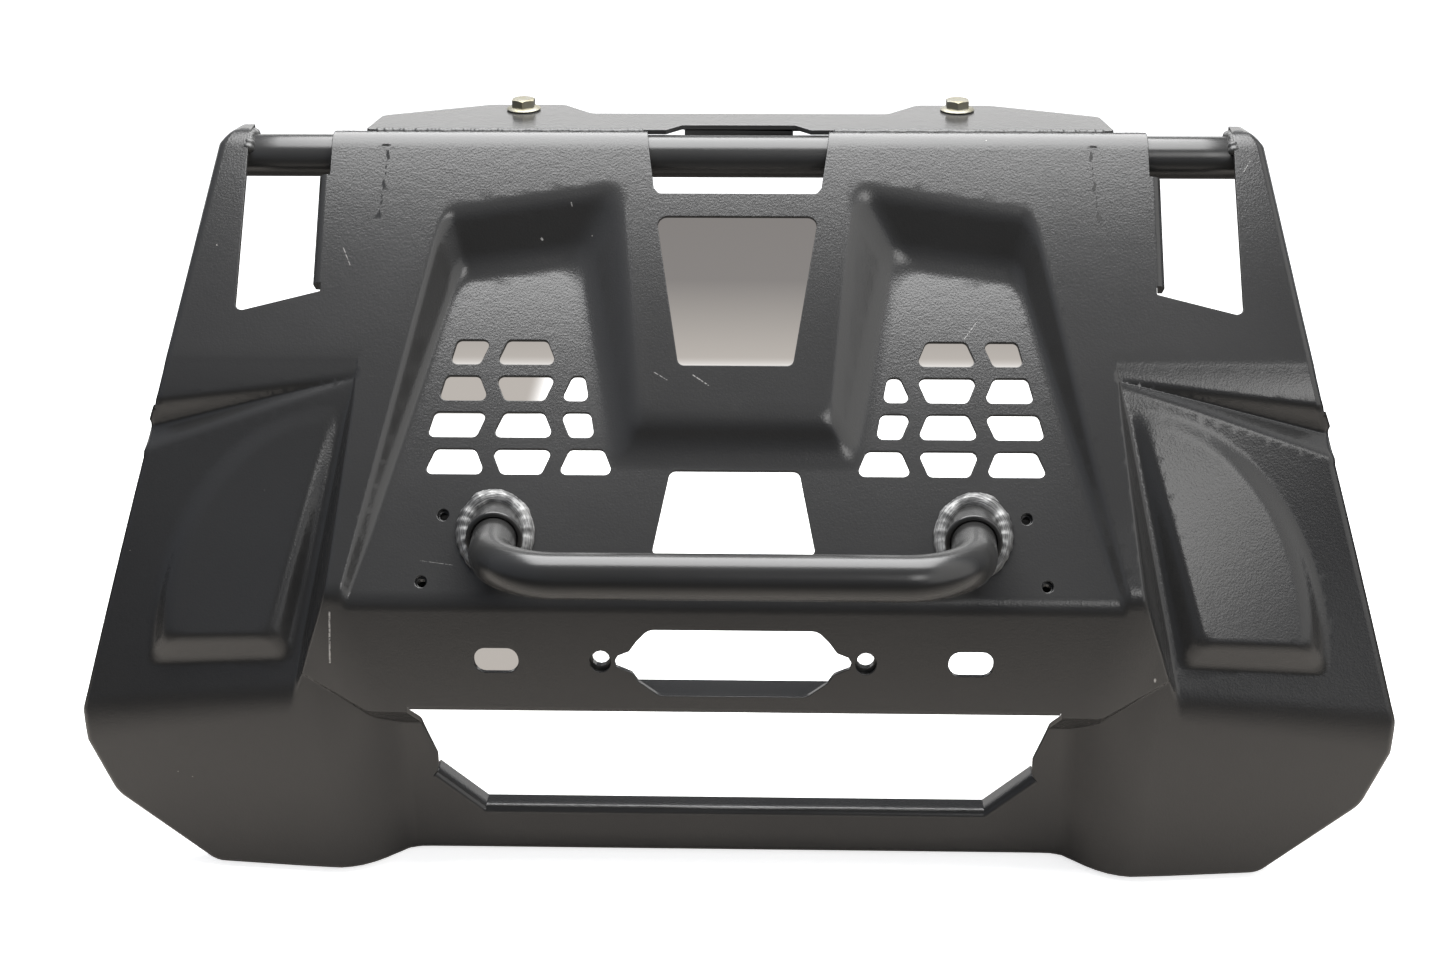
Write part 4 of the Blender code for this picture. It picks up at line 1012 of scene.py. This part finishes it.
def bead_tree():
    tree, given, result = new_tree(
        "Weld bead", "GeometryNodeTree",
        [("Geometry", "NodeSocketGeometry", None), ("Pitch", "NodeSocketFloat", 0.002),
         ("Drop", "NodeSocketFloat", 0.004), ("Uneven", "NodeSocketFloat", 0.2),
         ("Seed", "NodeSocketInt", 1), ("Material", "NodeSocketMaterial", None)],
        [("Geometry", "NodeSocketGeometry")])
    curve = node(tree, "GeometryNodeMeshToCurve", Mesh=given["Geometry"])
    spaced = node(tree, "GeometryNodeResampleCurve", {"mode": "LENGTH"}, Curve=curve.outputs[0],
                  Length=given["Pitch"])
    drop = node(tree, "GeometryNodeMeshIcoSphere", Radius=1.0, Subdivisions=3)
    vary = node(tree, "FunctionNodeRandomValue", {"data_type": "FLOAT"}, Seed=given["Seed"],
                i2=math_node(tree, "SUBTRACT", 1.0, given["Uneven"]),
                i3=math_node(tree, "ADD", 1.0, given["Uneven"]))
    size = math_node(tree, "MULTIPLY", given["Drop"], vary.outputs[1])
    short = math_node(tree, "MULTIPLY", size, DROP_FLAT)
    scale = node(tree, "ShaderNodeCombineXYZ", X=short, Y=size, Z=size)
    tangent = node(tree, "GeometryNodeInputTangent")
    aim = node(tree, "FunctionNodeAlignRotationToVector", {"axis": "X"}, Vector=tangent.outputs[0])
    drops = node(tree, "GeometryNodeInstanceOnPoints", Points=spaced.outputs[0],
                 Instance=drop.outputs[0], Rotation=aim.outputs[0], Scale=scale.outputs[0])
    return finished_tree(tree, given, result, drops)


BEAD = bead_tree()


def polyline(points, closed=False):
    mesh = bpy.data.meshes.new("path")
    edges = [(i, i + 1) for i in range(len(points) - 1)] + ([(len(points) - 1, 0)] if closed else [])
    mesh.from_pydata([tuple(p) for p in points], edges, [])
    return mesh


def melted(mesh, voxel=0.00045, smooth=6):
    """Drops remeshed into one skin and smoothed."""
    holder = bpy.data.objects.new("melt", mesh)
    bpy.context.scene.collection.objects.link(holder)
    remesh = holder.modifiers.new("Melt", "REMESH")
    remesh.mode = "VOXEL"
    remesh.voxel_size = voxel
    soften = holder.modifiers.new("Soften", "SMOOTH")
    soften.factor = 0.5
    soften.iterations = smooth
    mesh = applied(holder)
    mesh.shade_smooth()
    return mesh


# %% Welds around the legs
def leg_weld_path(turns=60):
    radius = SLEEVE_D / 2 + WELD_LEG * 0.3
    path = []
    for angle in np.linspace(0, 2 * math.pi, turns, endpoint=False):
        x, y = radius * math.cos(angle), radius * math.sin(angle)
        path.append((x, y, -(normal_on_leg.x * x + normal_on_leg.y * y) / normal_on_leg.z + 0.0006))
    return path


def kept_above(mesh, point, normal, depth):
    """Pushes what lies deeper than this under a plane back up to it."""
    for vert in mesh.vertices:
        under = (vert.co - point).dot(normal) + depth
        if under < 0:
            vert.co -= normal * under
    return mesh


mesh = run_tree(BEAD, polyline(leg_weld_path(), closed=True),
                {"Pitch": 0.0028, "Drop": 0.0052, "Uneven": 0.13, "Seed": 4}, "leg bead")
mesh = melted(kept_above(mesh, Vector(), normal_on_leg, 0.0012), 0.0006, 18)
on_both_sides(mesh, "leg_bead", "weld", leg_frame, "leg_weld")
print("Leg bead:", len(mesh.polygons), "faces")

# %% Welds along the top edge
weld_low, weld_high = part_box("top_weld_right")
spread = np.linspace(weld_low.x + 0.002, weld_high.x - 0.002, 80)
wander = 0.0004 * np.sin(spread * 310) + 0.0003 * np.sin(spread * 733 + 1)
path = [(x, (weld_low.y + weld_high.y) / 2 + dy, CROWN_R - 0.0011) for x, dy in zip(spread, wander)]
mesh = run_tree(BEAD, polyline(path), {"Pitch": 0.0024, "Drop": 0.0025, "Uneven": 0.10, "Seed": 9},
                "top bead")
mesh = melted(kept_above(mesh, Vector((0, 0, CROWN_R)), Vector((0, 0, 1)), 0.0012), 0.0005, 12)
on_both_sides(mesh, "top_bead", "weld", node="top_weld")
print("Top bead:", len(mesh.polygons), "faces")

# %% Welds between the tube and the horns
HORN_BEAD_U = HORN[0] - 0.0052
around = np.radians(np.linspace(35, 200, 24))
path = [(HORN_BEAD_U + 0.0004 * math.sin(5 * a), -TUBE_D / 2 * math.cos(a), TUBE_D / 2 * math.sin(a))
        for a in around]
mesh = run_tree(BEAD, polyline(path), {"Pitch": 0.0030, "Drop": 0.0034, "Uneven": 0.25, "Seed": 21},
                "horn bead")
mesh = melted(mesh, 0.0005, 8)
on_both_sides(mesh, "horn_bead", "weld")
print("Horn bead:", len(mesh.polygons), "faces")

# %% [markdown]
# The plate, the brackets and the nuts already have the right shape in the CAD model, but their
# edges are razor sharp. A copy of each is merged into one skin and gets a small bevel, so its
# edges catch light as painted or plated steel does.

# %% Softened copies of CAD solids
SHEET_EDGE = 0.0005
NUT_EDGE = 0.0003
LEVEL_ANGLE = 0.5                   # degrees: faces that are flatter than this become one
EDGE_ANGLE = 40                     # degrees: edges that are sharper than this are rounded
SHADE_ANGLE = 18                    # degrees: flats keep their own shading next to an edge


def softened(node_name, width, slot):
    copy = frame["nodes"][node_name].data.copy()
    work = bmesh.new()
    work.from_mesh(copy)
    bmesh.ops.remove_doubles(work, verts=work.verts, dist=0.000005)
    bmesh.ops.dissolve_limit(work, angle_limit=math.radians(LEVEL_ANGLE),
                             verts=work.verts, edges=work.edges)
    work.to_mesh(copy)
    work.free()
    holder = bpy.data.objects.new("soften", copy)
    bpy.context.scene.collection.objects.link(holder)
    bevel = holder.modifiers.new("Edges", "BEVEL")
    bevel.width = width
    bevel.segments = 2
    bevel.limit_method = "ANGLE"
    bevel.angle_limit = math.radians(EDGE_ANGLE)
    bevel.use_clamp_overlap = True
    mesh = applied(holder)
    mesh.shade_smooth()
    mesh.set_sharp_from_angle(angle=math.radians(SHADE_ANGLE))
    return add_piece(node_name + "_soft", mesh, slot, node_name)


WELD_NUTS = ("fairlead_nut", "small_nut_upper", "small_nut_lower")
soft_pieces = [softened("top_plate", SHEET_EDGE, "sheet_paint")]
for kinds, edge, slot in ((("bracket",), SHEET_EDGE, "sheet_paint"),
                          (WELD_NUTS, NUT_EDGE, "tube_paint"), (("nut",), NUT_EDGE, "zinc_steel")):
    for side in ("left", "right"):
        soft_pieces += [softened(f"{kind}_{side}", edge, slot) for kind in kinds]
print("Softened pieces:", len(soft_pieces))

# %% [markdown]
# Two flange bolts hold the plate down. A real head is forged: a hexagon whose corners are cut
# by a cone, on a flange that slopes to a thin round edge. The thread is a helix, so Geometry
# Nodes sweep a small triangle along a spiral.

# %% The tree that cuts a thread
TOOTH_SHARE = 0.52                  # a tooth's half width, against the pitch


def thread_tree():
    tree, given, result = new_tree(
        "Screw thread", "GeometryNodeTree",
        [("Geometry", "NodeSocketGeometry", None), ("Turns", "NodeSocketFloat", 10.0),
         ("Pitch", "NodeSocketFloat", 0.0015), ("Radius", "NodeSocketFloat", 0.005),
         ("Material", "NodeSocketMaterial", None)],
        [("Geometry", "NodeSocketGeometry")])
    height = math_node(tree, "MULTIPLY", given["Turns"], given["Pitch"])
    spiral = node(tree, "GeometryNodeCurveSpiral", Resolution=28, Rotations=given["Turns"],
                  Start_Radius=given["Radius"], End_Radius=given["Radius"], Height=height)
    tooth = node(tree, "GeometryNodeCurvePrimitiveCircle", {"mode": "RADIUS"}, Resolution=4,
                 Radius=math_node(tree, "MULTIPLY", given["Pitch"], TOOTH_SHARE))
    sweep = node(tree, "GeometryNodeCurveToMesh", Curve=spiral.outputs[0],
                 Profile_Curve=tooth.outputs[0], Fill_Caps=True)
    return finished_tree(tree, given, result, sweep)


THREAD = thread_tree()

# %% The flange bolts
BOLT_D = 0.008
BOLT_LENGTH = 0.020
HEX_FLATS = 0.0135
HEX_HIGH = 0.0046
FLANGE_D = 0.0212
FLANGE_HIGH = 0.0022
THREAD_PITCH = 0.00125


def boolean(base, other, operation):
    """Mesh of one solid combined with another."""
    holders = []
    for mesh in (base, other):
        holders.append(bpy.data.objects.new("solid", mesh))
        bpy.context.scene.collection.objects.link(holders[-1])
    cut = holders[0].modifiers.new("Combine", "BOOLEAN")
    cut.operation = operation
    cut.object = holders[1]
    mesh = applied(holders[0])
    bpy.data.objects.remove(holders[1])
    return cleaned(mesh, 30)


def hex_head(flats, low, high):
    """Hexagon whose top corners are turned off by a cone."""
    work = bmesh.new()
    bmesh.ops.create_cone(work, cap_ends=True, segments=6, radius1=flats / math.sqrt(3),
                          radius2=flats / math.sqrt(3), depth=high - low,
                          matrix=Matrix.Translation((0, 0, (low + high) / 2)))
    prism = bpy.data.meshes.new("hexagon")
    work.to_mesh(prism)
    work.free()
    flat_r = flats / 2 * 0.93
    top = high + 0.00001
    side_top = high - (flats - flat_r) * 0.5
    cone = turned("cone", [(0, low - 0.001), (flats, low - 0.001), (flats, side_top),
                           (flat_r, top), (flat_r * 0.72, top), (0, high - 0.0006)], 72)
    return boolean(prism, cone, "INTERSECT")


def flange_bolt():
    edge = 0.0004
    flange = turned("flange", [(0, 0), (FLANGE_D / 2 - edge, 0), (FLANGE_D / 2, edge),
                               (FLANGE_D / 2, 0.0007), (FLANGE_D / 2 - edge, 0.0011),
                               (HEX_FLATS * 0.56, FLANGE_HIGH - 0.0002), (HEX_FLATS * 0.5, FLANGE_HIGH),
                               (0, FLANGE_HIGH)], 72)
    head = hex_head(HEX_FLATS, 0.0010, FLANGE_HIGH + HEX_HIGH)
    core = BOLT_D / 2 - 0.55 * THREAD_PITCH
    shank = turned("shank", [(0, 0.001), (core, 0.001), (core, 0.0008 - BOLT_LENGTH),
                             (core - 0.0008, -BOLT_LENGTH), (0, -BOLT_LENGTH)], 48)
    solid = boolean(boolean(flange, head, "UNION"), shank, "UNION")
    turns = (BOLT_LENGTH - 0.004) / THREAD_PITCH
    thread = run_tree(THREAD, bpy.data.meshes.new("empty"),
                      {"Turns": turns, "Pitch": THREAD_PITCH, "Radius": core + 0.0002}, "thread")
    thread.transform(Matrix.Translation((0, 0, 0.0006 - BOLT_LENGTH)))
    work = bmesh.new()
    work.from_mesh(solid)
    work.from_mesh(thread)
    joined = bpy.data.meshes.new("bolt")
    work.to_mesh(joined)
    work.free()
    joined.shade_smooth()
    joined.set_sharp_from_angle(angle=math.radians(30))
    return joined


_, plate_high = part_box("top_plate")
bolt_low, bolt_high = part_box("bolt_right")
bolt_place = Matrix.Translation(((bolt_low.x + bolt_high.x) / 2, (bolt_low.y + bolt_high.y) / 2,
                                 plate_high.z + SEAT))
on_both_sides(flange_bolt(), "flange_bolt", "zinc_steel", bolt_place, "bolt")
print("Bolts at", [round(c, 4) for c in bolt_place.translation])

# %% [markdown]
# The finish is a satin black powder coat. Powder melts into a fine orange peel, which only
# shows where light grazes it, and handling leaves dust, lint and a few pale scratches. Peel and
# dust are shared by several materials, so each is a shader group that gives out masks and
# heights. Every pattern reads Object coordinates, in metres.

# %% Orange peel
def noise(tree, vector, scale, detail=2.0, rough=0.5, distort=0.0):
    return node(tree, "ShaderNodeTexNoise", Vector=vector, Scale=scale, Detail=detail,
                Roughness=rough, Distortion=distort).outputs["Fac"]


def ramp(tree, value, low, high):
    """0 below low, 1 above high, and a straight rise between them."""
    return node(tree, "ShaderNodeMapRange", {"clamp": True}, Value=value, From_Min=low,
                From_Max=high).outputs["Result"]


def peel_group():
    tree, given, result = new_tree(
        "Orange peel", "ShaderNodeTree",
        [("Vector", "NodeSocketVector", None), ("Grain", "NodeSocketFloat", 900.0),
         ("Coarse", "NodeSocketFloat", 0.5)],
        [("Height", "NodeSocketFloat"), ("Cloud", "NodeSocketFloat")])
    fine = noise(tree, given["Vector"], given["Grain"], 1.0)
    slow = math_node(tree, "MULTIPLY", given["Grain"], 0.2)
    coarse = noise(tree, given["Vector"], slow, 1.0)
    mixed = math_node(tree, "ADD", fine, math_node(tree, "MULTIPLY", coarse, given["Coarse"]))
    cloud = noise(tree, given["Vector"], 9.0, 3.0, 0.55)
    tree.links.new(mixed, result["Height"])
    tree.links.new(cloud, result["Cloud"])
    return tree


PEEL = peel_group()


# %% Dust and lint
def dust_group():
    """Mask of tiny pale specks: a few cells of a fine Voronoi pattern hold one dot each."""
    tree, given, result = new_tree(
        "Dust", "ShaderNodeTree",
        [("Vector", "NodeSocketVector", None), ("Scale", "NodeSocketFloat", 180.0),
         ("Amount", "NodeSocketFloat", 0.1), ("Size", "NodeSocketFloat", 0.12)],
        [("Mask", "NodeSocketFloat")])
    cells = node(tree, "ShaderNodeTexVoronoi", {"feature": "F1"}, Vector=given["Vector"],
                 Scale=given["Scale"], Randomness=1.0)
    chance = node(tree, "ShaderNodeSeparateColor", Color=cells.outputs["Color"])
    picked = math_node(tree, "LESS_THAN", chance.outputs[0], given["Amount"])
    grown = math_node(tree, "MULTIPLY", given["Size"], chance.outputs[1])
    dot = math_node(tree, "LESS_THAN", cells.outputs["Distance"], grown)
    tree.links.new(math_node(tree, "MULTIPLY", picked, dot), result["Mask"])
    return tree


DUST = dust_group()


def group_node(tree, group, **sockets):
    return node(tree, "ShaderNodeGroup", {"node_tree": group}, **sockets)


# %% Scratches and rubs
MARKS = (
    # from (u, v) to (u, v), half width, strength
    ((-0.2300, -0.2785), (-0.2330, -0.3070), 0.0007, 0.85),
    ((-0.0245, -0.1390), (-0.0155, -0.1450), 0.0004, 0.50),
    ((-0.0470, -0.1375), (-0.0395, -0.1420), 0.0003, 0.40),
    ((-0.2330, -0.0625), (-0.2285, -0.0730), 0.0003, 0.45),
    ((0.1345, -0.1135), (0.1420, -0.1030), 0.0003, 0.45),
    ((0.2995, -0.0130), (0.3035, -0.0060), 0.0003, 0.35),
    ((0.2425, -0.3125), (0.2428, -0.3135), 0.0010, 0.80),
    ((-0.1790, -0.2485), (-0.1595, -0.2510), 0.0002, 0.30),
    ((-0.1175, -0.0530), (-0.1168, -0.0538), 0.0008, 0.60),
    ((-0.0990, -0.0330), (-0.0985, -0.0350), 0.0004, 0.50),
)


def marks_mask(tree, place):
    """Thin broken lines between pairs of points on the sheet."""
    total = 0.0
    gaps = ramp(tree, noise(tree, place, 900.0, 2.0), 0.35, 0.55)
    for start, end, half, power in MARKS:
        first, last = (Vector(p) for p in sheet_points([start, end]))
        line = last - first
        away = vector_node(tree, "SUBTRACT", place, i1=tuple(first))[0]
        along = vector_node(tree, "DOT_PRODUCT", away, i1=tuple(line / line.length_squared))["Value"]
        along = math_node(tree, "ADD", along, 0.0, clamp=True)
        nearest = vector_node(tree, "SCALE", tuple(line), Scale=along)[0]
        gap = vector_node(tree, "DISTANCE", away, i1=nearest)["Value"]
        mark = math_node(tree, "MULTIPLY", ramp(tree, gap, half, half * 0.4), power)
        total = math_node(tree, "ADD", total, mark)
    return math_node(tree, "MULTIPLY", total, gaps, clamp=True)


# %% The painted materials
def new_material(name):
    made = bpy.data.materials.new(name)
    made.use_nodes = True
    tree = made.node_tree
    shader = tree.nodes["Principled BSDF"]
    place = tree.nodes.new("ShaderNodeTexCoord").outputs["Object"]
    return made, tree, shader, place


def mix_color(tree, mask, a, b):
    made = tree.nodes.new("ShaderNodeMix")
    made.data_type = "RGBA"
    for socket, value in zip((made.inputs[0], made.inputs[6], made.inputs[7]), (mask, a, b)):
        if isinstance(value, bpy.types.NodeSocket):
            tree.links.new(value, socket)
        else:
            socket.default_value = value
    return made.outputs[2]


def mix_value(tree, mask, a, b):
    mixed = node(tree, "ShaderNodeMapRange", {"clamp": False}, Value=mask, To_Min=a, To_Max=b)
    return mixed.outputs["Result"]


def black_paint(name, dark, light, rough, peel_high, grain, dust_amount, marked=False):
    """Satin black powder coat with orange peel, dust and slight clouding."""
    made, tree, shader, place = new_material(name)
    peel = group_node(tree, PEEL, Vector=place, Grain=grain, Coarse=0.6)
    specks = group_node(tree, DUST, Vector=place, Scale=230.0, Amount=dust_amount, Size=0.09)
    cloud = ramp(tree, peel.outputs["Cloud"], 0.15, 0.85)
    base = mix_color(tree, cloud, (*dark, 1), (*light, 1))
    base = mix_color(tree, specks.outputs["Mask"], base, (0.30, 0.29, 0.27, 1))
    if marked:
        base = mix_color(tree, marks_mask(tree, place), base, (0.55, 0.54, 0.52, 1))
    tree.links.new(base, shader.inputs["Base Color"])
    tree.links.new(mix_value(tree, cloud, rough - 0.02, rough + 0.03), shader.inputs["Roughness"])
    bump = node(tree, "ShaderNodeBump", Strength=0.5, Distance=peel_high, Height=peel.outputs["Height"])
    tree.links.new(bump.outputs[0], shader.inputs["Normal"])
    return made


sheet_paint = black_paint("Satin black powder coat", (0.023, 0.0227, 0.0224), (0.028, 0.0277, 0.0273),
                          0.22, 0.00014, 800.0, 0.014, marked=True)
tube_paint = black_paint("Smooth black tube paint", (0.020, 0.020, 0.0195), (0.025, 0.0245, 0.024),
                         0.24, 0.00003, 700.0, 0.006)


# %% Weld and zinc
def weld_paint():
    """Thin paint wiped round the leg's bead, rubbed through to grey metal in streaks.

    The right foot's place serves both sides: X is taken without its sign, and Y and Z, which are
    below zero all over the bead, get theirs back.
    """
    made, tree, shader, place = new_material("Wiped weld bead")
    right = vector_node(tree, "MULTIPLY", vector_node(tree, "ABSOLUTE", place)[0], i1=(1, -1, -1))[0]
    away = vector_node(tree, "SUBTRACT", right, i1=tuple(foot))[0]
    x, y = [vector_node(tree, "DOT_PRODUCT", away, i1=tuple(leg_frame.to_3x3().col[axis]))["Value"]
            for axis in (0, 1)]
    reach = math_node(tree, "SQRT", math_node(tree, "ADD", math_node(tree, "MULTIPLY", x, x),
                                              math_node(tree, "MULTIPLY", y, y)))
    turn = math_node(tree, "ARCTAN2", y, x)
    ring = node(tree, "ShaderNodeCombineXYZ", X=math_node(tree, "MULTIPLY", reach, 2300.0),
                Y=math_node(tree, "MULTIPLY", turn, 2.2))
    streak = noise(tree, ring.outputs[0], 1.0, 3.0, 0.6, 0.5)
    patch = noise(tree, place, 110.0, 2.0, 0.5)
    worn = math_node(tree, "ADD", streak, math_node(tree, "MULTIPLY", patch, 0.7))
    bare = ramp(tree, worn, 0.74, 1.02)
    tree.links.new(mix_color(tree, bare, (0.028, 0.028, 0.028, 1), (0.27, 0.27, 0.265, 1)),
                   shader.inputs["Base Color"])
    tree.links.new(mix_value(tree, bare, 0.0, 0.35), shader.inputs["Metallic"])
    tree.links.new(mix_value(tree, streak, 0.52, 0.34), shader.inputs["Roughness"])
    bump = node(tree, "ShaderNodeBump", Strength=0.6, Distance=0.0004, Height=streak)
    tree.links.new(bump.outputs[0], shader.inputs["Normal"])
    return made


seam_paint = black_paint("Painted seam", (0.022, 0.022, 0.022), (0.034, 0.034, 0.033), 0.36,
                         0.00012, 420.0, 0.02)


def zinc_plate():
    """Zinc plate with a yellow passivation that varies over the piece."""
    made, tree, shader, place = new_material("Yellow zinc plate")
    tint = ramp(tree, noise(tree, place, 140.0, 3.0, 0.6), 0.35, 0.65)
    tree.links.new(mix_color(tree, tint, (0.22, 0.216, 0.192, 1), (0.21, 0.195, 0.142, 1)),
                   shader.inputs["Base Color"])
    shader.inputs["Metallic"].default_value = 1.0
    polish = mix_value(tree, noise(tree, place, 600.0, 3.0), 0.42, 0.60)
    tree.links.new(polish, shader.inputs["Roughness"])
    bump = node(tree, "ShaderNodeBump", Strength=0.3, Distance=0.00005,
                Height=noise(tree, place, 1500.0, 3.0, 0.6))
    tree.links.new(bump.outputs[0], shader.inputs["Normal"])
    return made


FINISHES = {"sheet_paint": sheet_paint, "tube_paint": tube_paint, "weld": weld_paint(),
            "zinc_steel": zinc_plate()}
for piece in PARTS.objects:
    piece.data.materials.clear()
    seam = piece.name.startswith(("top_bead", "horn_bead"))
    piece.data.materials.append(seam_paint if seam else FINISHES[piece["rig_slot"]])

# %% [markdown]
# The photograph is a studio shot on a bright floor. Satin black only shows what it reflects,
# so the light is built from large soft sources: a softbox overhead, soft lights in a dim bluish
# dome, and the floor in front, painted bright and warm near the bumper and painted dark behind it,
# which warms the upright faces. The camera sees the floor glow plain white, though it is no lamp,
# with a painted soft shadow behind the bumper.

# %% Floor
def band(tree, value, low, high, soft):
    """1 between low and high, with a soft edge on both sides."""
    rise = node(tree, "ShaderNodeMapRange", {"interpolation_type": "SMOOTHSTEP"}, Value=value,
                From_Min=low - soft, From_Max=low + soft)
    fall = node(tree, "ShaderNodeMapRange", {"interpolation_type": "SMOOTHSTEP"}, Value=value,
                From_Min=high - soft, From_Max=high + soft)
    return math_node(tree, "SUBTRACT", rise.outputs["Result"], fall.outputs["Result"])


FLOOR_Z = cad_box[0].z - 0.001
FLOOR_SHADE = (
    # areas with a painted soft shadow: x (low, high, soft), y (low, high, soft)
    ((-0.44, 0.42, 0.06), (0.64, 1.22, 0.05)),
    ((-0.44, -0.195, 0.02), (0.53, 0.66, 0.03)),
    ((-0.26, -0.11, 0.03), (0.02, 0.15, 0.03)),
)
work = bmesh.new()
bmesh.ops.create_grid(work, x_segments=1, y_segments=1, size=6,
                      matrix=Matrix.Translation((0, 1.5, FLOOR_Z)))
mesh = bpy.data.meshes.new("floor")
work.to_mesh(mesh)
work.free()
floor = bpy.data.objects.new("studio_floor", mesh)
bpy.context.scene.collection.objects.link(floor)
made, tree, shader, place = new_material("Pale floor")
seen = tree.nodes.new("ShaderNodeLightPath").outputs["Is Camera Ray"]
x, y, _ = node(tree, "ShaderNodeSeparateXYZ", Vector=place).outputs
# Painted light and shade: in reflections the floor is painted bright and warm just in front of the
# bumper, dark far away, and dark in the shade behind and under it
near = math_node(tree, "MULTIPLY", ramp(tree, y, -1.0, -0.30), ramp(tree, y, 0.10, -0.15))
near = math_node(tree, "MULTIPLY", near, near)
painted_reflected_floor = mix_color(tree, near, (0.07, 0.065, 0.06, 1), (0.80, 0.74, 0.67, 1))
paper_and_painted_shadow = mix_color(tree, noise(tree, place, 2.0), (0.88, 0.875, 0.865, 1), (0.90, 0.895, 0.89, 1))
shade = 0.0
for across, along in FLOOR_SHADE:
    area = math_node(tree, "MULTIPLY", band(tree, x, *across), band(tree, y, *along))
    shade = math_node(tree, "MAXIMUM", area, shade)
# Painted shadow: beige, darker further back, inside the shaded areas. For camera rays the floor glows
# white elsewhere, though it is no lamp
painted_shadow_colour = mix_color(tree, ramp(tree, y, 0.68, 0.92), (0.44, 0.405, 0.37, 1), (0.20, 0.185, 0.175, 1))
painted_glow_and_shadow = mix_color(tree, shade, (0.7, 0.7, 0.7, 1), painted_shadow_colour)
# Under the painted shadow the floor's own colour goes near black, so the painted glow sets its tone
paper_and_painted_shadow = mix_color(tree, shade, paper_and_painted_shadow, (0.03, 0.03, 0.03, 1))
tree.links.new(mix_color(tree, seen, painted_reflected_floor, paper_and_painted_shadow), shader.inputs["Base Color"])
tree.links.new(painted_glow_and_shadow, shader.inputs["Emission Color"])
tree.links.new(seen, shader.inputs["Emission Strength"])
shader.inputs["Roughness"].default_value = 0.7
shader.inputs["Specular IOR Level"].default_value = 0.0
mesh.materials.append(made)
floor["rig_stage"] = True

# %% Light
SOFT_LIGHTS = (
    # strength, angle over the front horizon (low, high, soft), reach to the right (low, high, soft)
    (2.0, (160, 178, 4), (-0.80, 0.80, 0.15)),
    (6.0, (22, 43, 6), (0.18, 0.42, 0.05)),
    (1.3, (0, 115, 12), (0.48, 1.20, 0.10)),
    (0.2, (10, 130, 12), (-1.20, -0.30, 0.14)),
)
DOME_BASE = 0.12

world_light = bpy.data.worlds.new("Studio dome")
bpy.context.scene.world = world_light
world_light.use_nodes = True
tree = world_light.node_tree
direction = tree.nodes.new("ShaderNodeTexCoord").outputs["Generated"]
right, back, up = node(tree, "ShaderNodeSeparateXYZ", Vector=direction).outputs
turn_over = math_node(tree, "ARCTAN2", up, math_node(tree, "MULTIPLY", back, -1.0))
turn_over = math_node(tree, "DEGREES", turn_over)
strength = DOME_BASE
for power, over, aside in SOFT_LIGHTS:
    lamp = math_node(tree, "MULTIPLY", band(tree, turn_over, *over), band(tree, right, *aside))
    strength = math_node(tree, "ADD", math_node(tree, "MULTIPLY", lamp, power), strength)
background = tree.nodes["Background"]
lit = math_node(tree, "MULTIPLY", strength, 0.8, clamp=True)
tint = mix_color(tree, lit, (0.80, 0.90, 1.12, 1), (1, 0.995, 0.985, 1))
tree.links.new(tint, background.inputs["Color"])
tree.links.new(strength, background.inputs["Strength"])

box_light = bpy.data.lights.new("Overhead softbox", "AREA")
box_light.shape = "RECTANGLE"
box_light.size, box_light.size_y = 0.92, 0.94
box_light.energy = 10.0 * math.pi * box_light.size * box_light.size_y
softbox = bpy.data.objects.new("Overhead softbox", box_light)
softbox.location = (0.0, 0.135, 0.60)
bpy.context.scene.collection.objects.link(softbox)
bpy.context.scene.view_settings.view_transform = "Standard"
print("Soft lights:", 1 + len(SOFT_LIGHTS))

# %% [markdown]
# The camera stands where the photographer stood. Its place and turn were worked out from the
# straight edges of the bumper: it looks 25 degrees down, and a touch off square.

# %% Camera
CAMERA_PLACE = Vector((0.02253, -1.1834, 0.3346))
LOOK_DOWN = math.radians(25)
LOOK_ASIDE = math.radians(-1.604)
CAMERA_ROLL = math.radians(-0.2775)
camera = bpy.data.objects.new("Photo camera", bpy.data.cameras.new("Photo camera"))
camera.data.lens = 50
camera.data.sensor_width = 36
turn = (Matrix.Rotation(-LOOK_ASIDE, 4, "Z") @ Matrix.Rotation(math.pi / 2 - LOOK_DOWN, 4, "X")
        @ Matrix.Rotation(CAMERA_ROLL, 4, "Z"))
camera.matrix_world = Matrix.Translation(CAMERA_PLACE) @ turn
bpy.context.scene.collection.objects.link(camera)
bpy.context.scene.camera = camera
print("Camera looks along", [round(c, 3) for c in (turn @ Vector((0, 0, -1)))])

# %% How far the pieces grew past the CAD model
visual_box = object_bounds()
growth = [[round((b - a) * 1000, 2) for a, b in zip(*pair)] for pair in zip(cad_box, visual_box)]
print("Grew by mm:", growth)
